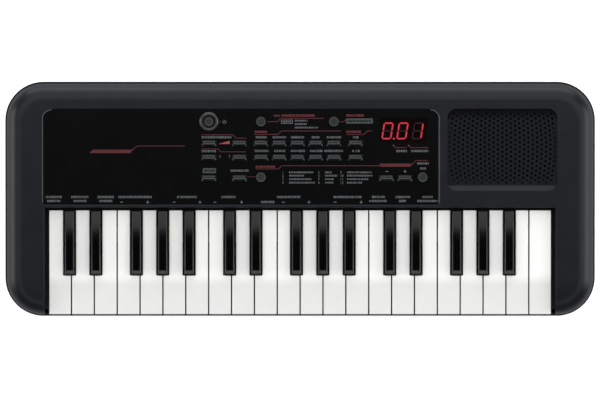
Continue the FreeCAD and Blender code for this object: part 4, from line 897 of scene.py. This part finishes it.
for name in CAP_GROUPS:
    sheet = flat_copy(name)
    tops = [face for face in sheet.faces if is_cap_top(face)]
    ring = bmesh.ops.inset_individual(sheet, faces=tops, thickness=RIM_WIDTH, depth=-DISH_DEPTH,
                                      use_even_offset=True)["faces"]
    corners = [edge for edge in sheet.edges if is_front_corner(edge)]
    cuts = bmesh.ops.bevel(sheet, geom=corners, offset=CORNER_CUT, offset_type="OFFSET",
                           segments=1, affect="EDGES")["faces"] if corners else []
    for face in sheet.faces:
        face.material_index = SHADE_FACES if face.calc_center_median().z > 0 else PLAIN
        if face in tops:
            face.material_index = PLAIN
        if face in ring or face in cuts:
            face.material_index = HIGHLIGHT_FACES
    caps = make_piece(name + "_caps", sheet, [button_finish, cap_highlight_finish, cap_shade_finish],
                      body=name)
    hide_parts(name)

# %% [markdown]
# ## The ring round the power button
#
# A satin ring guards the power button from a stray hand. Its section is round,
# so a circle is set up on end and spun once round the button's axis.

# %% Find the power button
def deck_box(name):
    """The lowest and highest corner of a node in the deck's frame."""
    points = [DECK.inverted() @ vertex.co for vertex in frame["nodes"][name].data.vertices]
    return [Vector(extreme(point[axis] for point in points) for axis in range(3))
            for extreme in (min, max)]


power_low, power_high = deck_box("power_button")
POWER_CENTRE = (power_low + power_high).to_2d() / 2
print("power button at", [round(value / MM, 2) for value in POWER_CENTRE])

# %% Power ring
RING_RADIUS = 6.68 * MM
RING_SECTION = 1.56 * MM
RING_HEIGHT = -0.80 * MM
RING_SIDES = 20
RING_STEPS = 64
RING_GREY = (0.017, 0.017, 0.018)
ring_finish = moulded("satin_ring", RING_GREY, 0.28, grain=0.4 * MM, depth=0.003 * MM,
                      specular=0.55)

sheet = bmesh.new()
bmesh.ops.create_circle(sheet, segments=RING_SIDES, radius=RING_SECTION)
bmesh.ops.rotate(sheet, verts=sheet.verts, cent=(0, 0, 0),
                 matrix=Matrix.Rotation(math.radians(90), 3, "X"))
bmesh.ops.translate(sheet, verts=sheet.verts,
                    vec=(POWER_CENTRE.x + RING_RADIUS, POWER_CENTRE.y, RING_HEIGHT))
bmesh.ops.spin(sheet, geom=sheet.verts[:] + sheet.edges[:], cent=(*POWER_CENTRE, 0),
               axis=(0, 0, 1), dvec=(0, 0, 0), angle=math.tau, steps=RING_STEPS, use_merge=True)
bmesh.ops.recalc_face_normals(sheet, faces=sheet.faces)
for face in sheet.faces:
    face.smooth = True
make_piece("power_ring", sheet, [ring_finish])

# %% [markdown]
# ## Edge of the panel
#
# A slim bead runs down both short ends of the panel and turns a little way
# round its rear corners. It is a stripe with rounded corners, raised a hair
# above the deck.

# %% Panel edge bead
BEAD_WIDTH = 0.85
BEAD_BOTTOM = -0.6 * MM
BEAD_TOP = 0.02 * MM
BEAD_FRONT = 202.6
PANEL_SIDES = ((42.9, 180), (439.2, 0))
PANEL_CORNER_ROW = 118.8
PANEL_CORNER = 9.0
QUARTER_STEPS = 8
BEAD_GREY = (0.050, 0.053, 0.058)
bead_finish = moulded("edge_bead", BEAD_GREY, 0.35, depth=0.004 * MM)


def quarter(centre, radius, first, last):
    """Pixels along a quarter circle, from one angle to another in degrees."""
    turns = [math.radians(first + (last - first) * step / QUARTER_STEPS)
             for step in range(QUARTER_STEPS + 1)]
    return [(centre[0] + radius * math.cos(turn), centre[1] - radius * math.sin(turn))
            for turn in turns]


sheet = bmesh.new()
for side_x, outward in PANEL_SIDES:
    centre_x = side_x - PANEL_CORNER * math.cos(math.radians(outward))
    corner = quarter((centre_x, PANEL_CORNER_ROW), PANEL_CORNER, outward, 90)
    stripe(sheet, [(side_x, BEAD_FRONT)] + corner, BEAD_WIDTH)
raise_faces(sheet, BEAD_BOTTOM, BEAD_TOP)
make_piece("panel_edge_bead", sheet, [bead_finish])

# %% [markdown]
# ## Dark cloth and painted shadow
#
# Under the grille lies a black cloth, so that no light shows through the
# holes. It is a flat solid of a fibrous material. A dark stripe of the same
# stuff, a painted shadow of the recess wall, lines the rear edge of the grille
# and turns round its rear corners. It is a stripe with round corners, like the
# bead of the panel.

# %% Grille cloth
CLOTH_MARGIN = 3.0 * MM
CLOTH_THICKNESS = 0.12 * MM
FELT_BLACK = (0.0022, 0.0022, 0.0023)
felt_finish = moulded("black_felt", FELT_BLACK, 0.95, grain=0.25 * MM,
                      depth=0.08 * MM, specular=0.1, spread=0.3)


def add_slab(sheet, low, high):
    """A block between two corners, both in the deck's frame."""
    low, high = Vector(low), Vector(high)
    size = high - low
    made = bmesh.ops.create_cube(sheet, size=1)
    bmesh.ops.scale(sheet, verts=made["verts"], vec=size)
    bmesh.ops.translate(sheet, verts=made["verts"], vec=(low + high) / 2)


grille_low, grille_high = deck_box("speaker_grille")
cloth_low = (grille_low.x + CLOTH_MARGIN, grille_low.y + 2 * CLOTH_MARGIN, grille_low.z)
cloth_high = (grille_high.x - CLOTH_MARGIN, grille_high.y - CLOTH_MARGIN,
              grille_low.z + CLOTH_THICKNESS)
sheet = bmesh.new()
add_slab(sheet, cloth_low, cloth_high)
make_piece("grille_cloth", sheet, [felt_finish])

# %% Painted shadow along the grille's rear edge
# Painted shadow: a dark stripe inside the rear wall of the grille's recess.
BORDER_WIDTH = 2.4
BORDER_RADIUS = 8.4
BORDER_SIDES = (448.6, 556.6)
BORDER_BACK = 109.8
BORDER_SINK = 0.05 * MM
BORDER_RISE = 0.25 * MM

left, right = BORDER_SIDES
centre_row = BORDER_BACK + BORDER_RADIUS
shadow_path = quarter((left + BORDER_RADIUS, centre_row), BORDER_RADIUS, 180, 90)
shadow_path += quarter((right - BORDER_RADIUS, centre_row), BORDER_RADIUS, 90, 0)
sheet = bmesh.new()
stripe(sheet, shadow_path, BORDER_WIDTH)
raise_faces(sheet, grille_high.z - BORDER_SINK, grille_high.z + BORDER_RISE)
make_piece("grille_painted_shadow", sheet, [felt_finish])

# %% [markdown]
# ## Mouths of the grille's holes
#
# Every hole of the grille gets a painted shade at its mouth: a thin flat dark
# ring that makes the hole look wider and darker. The holes stand in staggered
# columns that bow inwards towards the ends, so the same rule places a ring
# round each of them.

# %% Places of the holes
GRILLE_CENTRE = Vector((173.35, 44.35, 0)) * MM
HOLE_FIELD = (45.05 * MM, 31.05 * MM)
HOLE_PITCH = (3.75 * MM, 4.06 * MM)
HOLE_BOW = 0.085
HOLE_CORNER = 8.0 * MM


def hole_places():
    """The middle of every hole, column by column."""
    half_width, half_depth = HOLE_FIELD
    columns = int(half_width / HOLE_PITCH[0])
    rows = int(2 * half_depth / HOLE_PITCH[1])
    places = []
    for column in range(-columns, columns + 1):
        for row in range(-rows, rows + 1):
            y = (row + 0.5 * (column % 2)) * HOLE_PITCH[1]
            x = column * HOLE_PITCH[0] * (1 - HOLE_BOW * (y / half_depth) ** 2)
            past = Vector((max(abs(x) - half_width + HOLE_CORNER, 0),
                           max(abs(y) - half_depth + HOLE_CORNER, 0)))
            if abs(y) <= half_depth and past.length <= HOLE_CORNER:
                places.append(GRILLE_CENTRE + Vector((x, y, 0)))
    return places


print(len(hole_places()), "holes")

# %% Painted shade round the holes
# Painted shade: a flat dark ring round each hole makes it look wider and darker.
HOLE_RADIUS = 0.80 * MM
SHADE_RING_RADIUS = 1.34 * MM
MOUTH_SIDES = 16
MOUTH_FILM = 0.02 * MM


def add_washer(sheet, place):
    """A flat dark ring of painted shade round a hole."""
    turns = [math.tau * side / MOUTH_SIDES for side in range(MOUTH_SIDES)]
    rim = [Vector((math.cos(turn), math.sin(turn), 0)) for turn in turns]
    inner, outer = [[sheet.verts.new(place + radius * point) for point in rim]
                    for radius in (HOLE_RADIUS, SHADE_RING_RADIUS)]
    for side in range(MOUTH_SIDES):
        after = (side + 1) % MOUTH_SIDES
        sheet.faces.new((inner[side], outer[side], outer[after], inner[after]))


sheet = bmesh.new()
for place in hole_places():
    add_washer(sheet, place)
raise_faces(sheet, grille_high.z - MOUTH_FILM, grille_high.z + MOUTH_FILM)
make_piece("grille_hole_shade", sheet, [felt_finish])

# %% [markdown]
# ## Felt before the deck
#
# A strip of black felt closes the slit between the deck's edge and the keys
# against dust. It is one long block that rides on the case.

# %% Key felt
FELT_HALF = 216.4 * MM
FELT_LOW = (-FELT_HALF, -10.2 * MM, -6.0 * MM)
FELT_HIGH = (FELT_HALF, -5.0 * MM, -5.2 * MM)

sheet = bmesh.new()
add_slab(sheet, FELT_LOW, FELT_HIGH)
make_piece("key_felt", sheet, [felt_finish])

# %% [markdown]
# ## Black keys
#
# A black key's top isn't flat along its length: it falls away gently towards
# the back. That hardly shows in the outline, but the gloss shows it, because
# the falling part reflects the light behind the keyboard. A merged copy of the
# frame's key is cut across many times and its upper part is bent down along a
# gentle curve. Weighted normals keep the broad faces even beside the narrow ones.
# The lowest part of the front slope and the front below it are left matt, and
# the long slopes at the sides are a little less glossy than the top.

# %% Finishes of the lip and the sides
LIP_BLACK = (0.0012, 0.0012, 0.0013)
lip_finish = moulded("black_key_lip", LIP_BLACK, 0.6, grain=0.5 * MM, depth=0.004 * MM,
                     spread=0.2, specular=0.05)
flank_finish = moulded("black_key_flank", KEY_BLACK, 0.14, grain=0.5 * MM, depth=0.001 * MM,
                       spread=0.1, roughness_spread=0.02, specular=0.22)

# %% Cut a key and bend its top
LIP_PLACE = -64.65 * MM
KEY_CHIN = -5.3 * MM
KEY_RIDGE = 1.0 * MM
BOW_START = -38.0 * MM
BOW_END = -10.9 * MM
BOW_DROP = 2.1 * MM
BOW_POWER = 1.45
BOW_CUTS = 16


def share_between(value, start, end):
    """How far a value has come from start to end, kept between 0 and 1."""
    return min(max((value - start) / (end - start), 0), 1)


def cut_key(sheet):
    """Cuts a key across, many times where it will bend and once at its lip."""
    places = [BOW_START + (BOW_END - BOW_START) * cut / BOW_CUTS for cut in range(1, BOW_CUTS)]
    for place in places + [LIP_PLACE]:
        bmesh.ops.bisect_plane(sheet, geom=sheet.verts[:] + sheet.edges[:] + sheet.faces[:],
                               dist=MERGE_DISTANCE, plane_co=(0, place, 0), plane_no=(0, 1, 0))


def bend_key(sheet):
    """Lowers the upper part of a key along a curve towards the back."""
    for vert in sheet.verts:
        share = share_between(vert.co.z, KEY_CHIN, KEY_RIDGE)
        along = share_between(vert.co.y, BOW_START, BOW_END)
        vert.co.z -= share * BOW_DROP * along ** BOW_POWER


# %% Bowed black keys
FLANK_FACING = 0.5
KEY_SHARP = math.radians(35)
TOP, LIP, FLANK = 0, 1, 2


def bowed_key(name):
    """Takes a black key's place with a bowed copy in three finishes."""
    sheet = flat_copy(name)
    cut_key(sheet)
    bend_key(sheet)
    for face in sheet.faces:
        face.smooth = True
        face.material_index = FLANK if abs(face.normal.x) > FLANK_FACING else TOP
        if face.calc_center_median().y < LIP_PLACE:
            face.material_index = LIP
    piece = make_piece(name + "_top", sheet, [black_finish, lip_finish, flank_finish], body=name)
    piece.data.set_sharp_from_angle(angle=KEY_SHARP)
    weights = piece.modifiers.new("weighted_normals", "WEIGHTED_NORMAL")
    weights.keep_sharp = True
    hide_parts(name)


for name in filter(is_black_key, frame["nodes"]):
    bowed_key(name)

# %% [markdown]
# ## Grip of the battery cover
#
# Next to its finger notch the battery cover has a few fine ridges for the thumb
# and a raised arrow that points at the edge that opens. They ride on the cover,
# so they swing with it.

# %% Ridges and arrow
COVER_FACE = 2.5 * MM
RIDGE_RISE = 0.3 * MM
RIDGE_SINK = 0.05 * MM
RIDGE_HALF = 8.0 * MM
RIDGE_WIDTH = 0.9 * MM
RIDGE_PITCH = 2.0 * MM
RIDGES_FROM = 60.0 * MM
RIDGE_COUNT = 5
ARROW_FROM = 51.0 * MM
ARROW_TIP = 56.5 * MM
ARROW_HALF = 4.0 * MM

sheet = bmesh.new()
for ridge in range(RIDGE_COUNT):
    low = RIDGES_FROM + ridge * RIDGE_PITCH
    high = low + RIDGE_WIDTH
    patch(sheet, [(-RIDGE_HALF, low, 0), (RIDGE_HALF, low, 0),
                  (RIDGE_HALF, high, 0), (-RIDGE_HALF, high, 0)])
patch(sheet, [(-ARROW_HALF, ARROW_FROM, 0), (ARROW_HALF, ARROW_FROM, 0), (0, ARROW_TIP, 0)])
raise_faces(sheet, COVER_FACE - RIDGE_RISE, COVER_FACE + RIDGE_SINK)
sheet.transform(DECK.inverted())
make_piece("battery_cover_grip", sheet, [tub_finish], body="battery_cover")

# %% [markdown]
# ## Camera
#
# The keyboard is seen from straight above and from far away, which hides its
# sides as in the photograph. The lens makes a pixel of the picture as wide as
# one of the photograph.

# %% Camera
CAMERA_HEIGHT = 12.0
FRAME_WIDTH = PICTURE_SIZE[0] * PIXEL
SCALE_HEIGHT = 0.031
CASE_ROW = 198.8
SENSOR = 36
FAR_ENOUGH = 100

camera_data = bpy.data.cameras.new("camera")
camera = bpy.data.objects.new("camera", camera_data)
bpy.context.scene.collection.objects.link(camera)
camera_data.sensor_width = SENSOR
camera_data.lens = SENSOR * CAMERA_HEIGHT / FRAME_WIDTH
camera_data.clip_end = FAR_ENOUGH
camera.location = ((PICTURE_SIZE[0] / 2 - PIXEL_X) * PIXEL,
                   (CASE_ROW - PICTURE_SIZE[1] / 2) * PIXEL, SCALE_HEIGHT + CAMERA_HEIGHT)
bpy.context.scene.camera = camera
print("lens", round(camera_data.lens), "mm")

# %% [markdown]
# ## Floor
#
# The keyboard lies on a white sweep. Plain paper would come out grey under
# these lights, so it glows a little, but only for the camera and in
# reflections.

# %% Floor
FLOOR_HALF = 30.0
floor_mesh = bpy.data.meshes.new("floor")
sheet = bmesh.new()
bmesh.ops.create_grid(sheet, x_segments=1, y_segments=1, size=FLOOR_HALF)
sheet.to_mesh(floor_mesh)
sheet.free()
floor = bpy.data.objects.new("floor", floor_mesh)
bpy.context.scene.collection.objects.link(floor)


# %% White paper
PAPER_WHITE = (0.8, 0.8, 0.8, 1)
PAPER_GLOW = 0.6


def floor_material():
    """White paper that reads as white in the picture and in reflections, keeps
    its shadows, and is clear from below."""
    material = bpy.data.materials.new("white_sweep")
    material.use_nodes = True
    tree = material.node_tree
    link = tree.links.new
    tree.nodes.clear()
    out = tree.nodes.new("ShaderNodeOutputMaterial")
    paper = add_node(tree, "ShaderNodeBsdfDiffuse", Color=PAPER_WHITE)
    glow = add_node(tree, "ShaderNodeEmission", Color=(1, 1, 1, 1))
    both = tree.nodes.new("ShaderNodeAddShader")
    path = tree.nodes.new("ShaderNodeLightPath")
    seen = combine(tree, "MAXIMUM", path.outputs["Is Camera Ray"], path.outputs["Is Glossy Ray"])
    level = tree.nodes.new("ShaderNodeMath")
    level.operation = "MULTIPLY"
    level.inputs[1].default_value = PAPER_GLOW
    link(seen, level.inputs[0])
    link(level.outputs[0], glow.inputs["Strength"])
    link(paper.outputs[0], both.inputs[0])
    link(glow.outputs[0], both.inputs[1])
    clear = tree.nodes.new("ShaderNodeBsdfTransparent")
    side = tree.nodes.new("ShaderNodeMixShader")
    geometry = tree.nodes.new("ShaderNodeNewGeometry")
    link(geometry.outputs["Backfacing"], side.inputs["Fac"])
    link(both.outputs[0], side.inputs[1])
    link(clear.outputs[0], side.inputs[2])
    link(side.outputs[0], out.inputs["Surface"])
    return material


floor_mesh.materials.append(floor_material())

# %% [markdown]
# ## Lights
#
# A glossy panel shows whatever it mirrors, so the lights are placed by what
# they leave dark. Soft boxes overhead light the white keys, and low ones at
# the sides and behind are drawn out to a bright line by the round shoulder.
# The rest of the room fills the shadows. It is darker overhead, which keeps
# the flat gloss dark, and the camera sees it as white.

# %% Lights
SOFTBOXES = (
    ("rear_overhead_box", (0, 0.635, 1.30), (0, 0.635, 0), 2.0, 1.16, 1.45),
    ("front_overhead_box", (0, -0.90, 1.30), (0, -0.90, 0), 2.0, 0.90, 1.45),
    ("left_overhead_box", (-0.95, 0.0, 1.30), (-0.95, 0, 0), 0.60, 0.9, 1.2),
    ("right_overhead_box", (0.95, 0.0, 1.30), (0.95, 0, 0), 0.60, 0.9, 1.7),
    ("left_box", (-1.5, 0.0, 0.50), (0, 0, 0.1), 1.0, 0.8, 3.8),
    ("right_box", (1.5, 0.0, 0.50), (0, 0, 0.1), 1.0, 0.8, 3.4),
    ("rear_box", (0, 1.6, 0.45), (0, 0, 0.1), 2.4, 0.6, 3.2),
    ("rear_upper_box", (0, 1.42, 0.98), (0, 0, 0.1), 2.4, 0.56, 2.0),
    ("right_upper_box", (1.36, 0, 0.98), (0, 0, 0.1), 1.0, 0.40, 2.2),
)


def softbox(name, place, aim, width, height, radiance):
    """A rectangular lamp whose surface is as bright as radiance says."""
    lamp = bpy.data.lights.new(name, "AREA")
    lamp.shape = "RECTANGLE"
    lamp.size = width
    lamp.size_y = height
    lamp.energy = radiance * math.pi * width * height
    holder = bpy.data.objects.new(name, lamp)
    bpy.context.scene.collection.objects.link(holder)
    holder.location = place
    holder.rotation_mode = "QUATERNION"
    holder.rotation_quaternion = (Vector(aim) - Vector(place)).to_track_quat("-Z", "Y")


for name, place, aim, width, height, radiance in SOFTBOXES:
    softbox(name, place, aim, width, height, radiance)
print(len(SOFTBOXES), "soft boxes")

# %% Room
ROOM_ENDS = (0.0, 0.9)
ROOM_GREYS = ((0.5, 0.5, 0.5), (0.03, 0.03, 0.03))
CAMERA_WHITE = (1, 1, 1, 1)


def make_world():
    """A pale room, white for the camera and bright near the horizon."""
    world = bpy.data.worlds.new("pale_room")
    bpy.context.scene.world = world
    world.use_nodes = True
    tree = world.node_tree
    link = tree.links.new
    background = tree.nodes["Background"]
    place = tree.nodes.new("ShaderNodeTexCoord")
    parts = tree.nodes.new("ShaderNodeSeparateXYZ")
    ramp = tree.nodes.new("ShaderNodeValToRGB")
    set_ramp(ramp, ROOM_ENDS, ROOM_GREYS)
    link(place.outputs["Generated"], parts.inputs[0])
    link(parts.outputs["Z"], ramp.inputs["Fac"])
    path = tree.nodes.new("ShaderNodeLightPath")
    mix = tree.nodes.new("ShaderNodeMix")
    mix.data_type = "RGBA"
    mix.inputs["B"].default_value = CAMERA_WHITE
    link(path.outputs["Is Camera Ray"], mix.inputs["Factor"])
    link(ramp.outputs["Color"], mix.inputs["A"])
    link(mix.outputs["Result"], background.inputs["Color"])


make_world()
bpy.context.scene.view_settings.view_transform = "Standard"
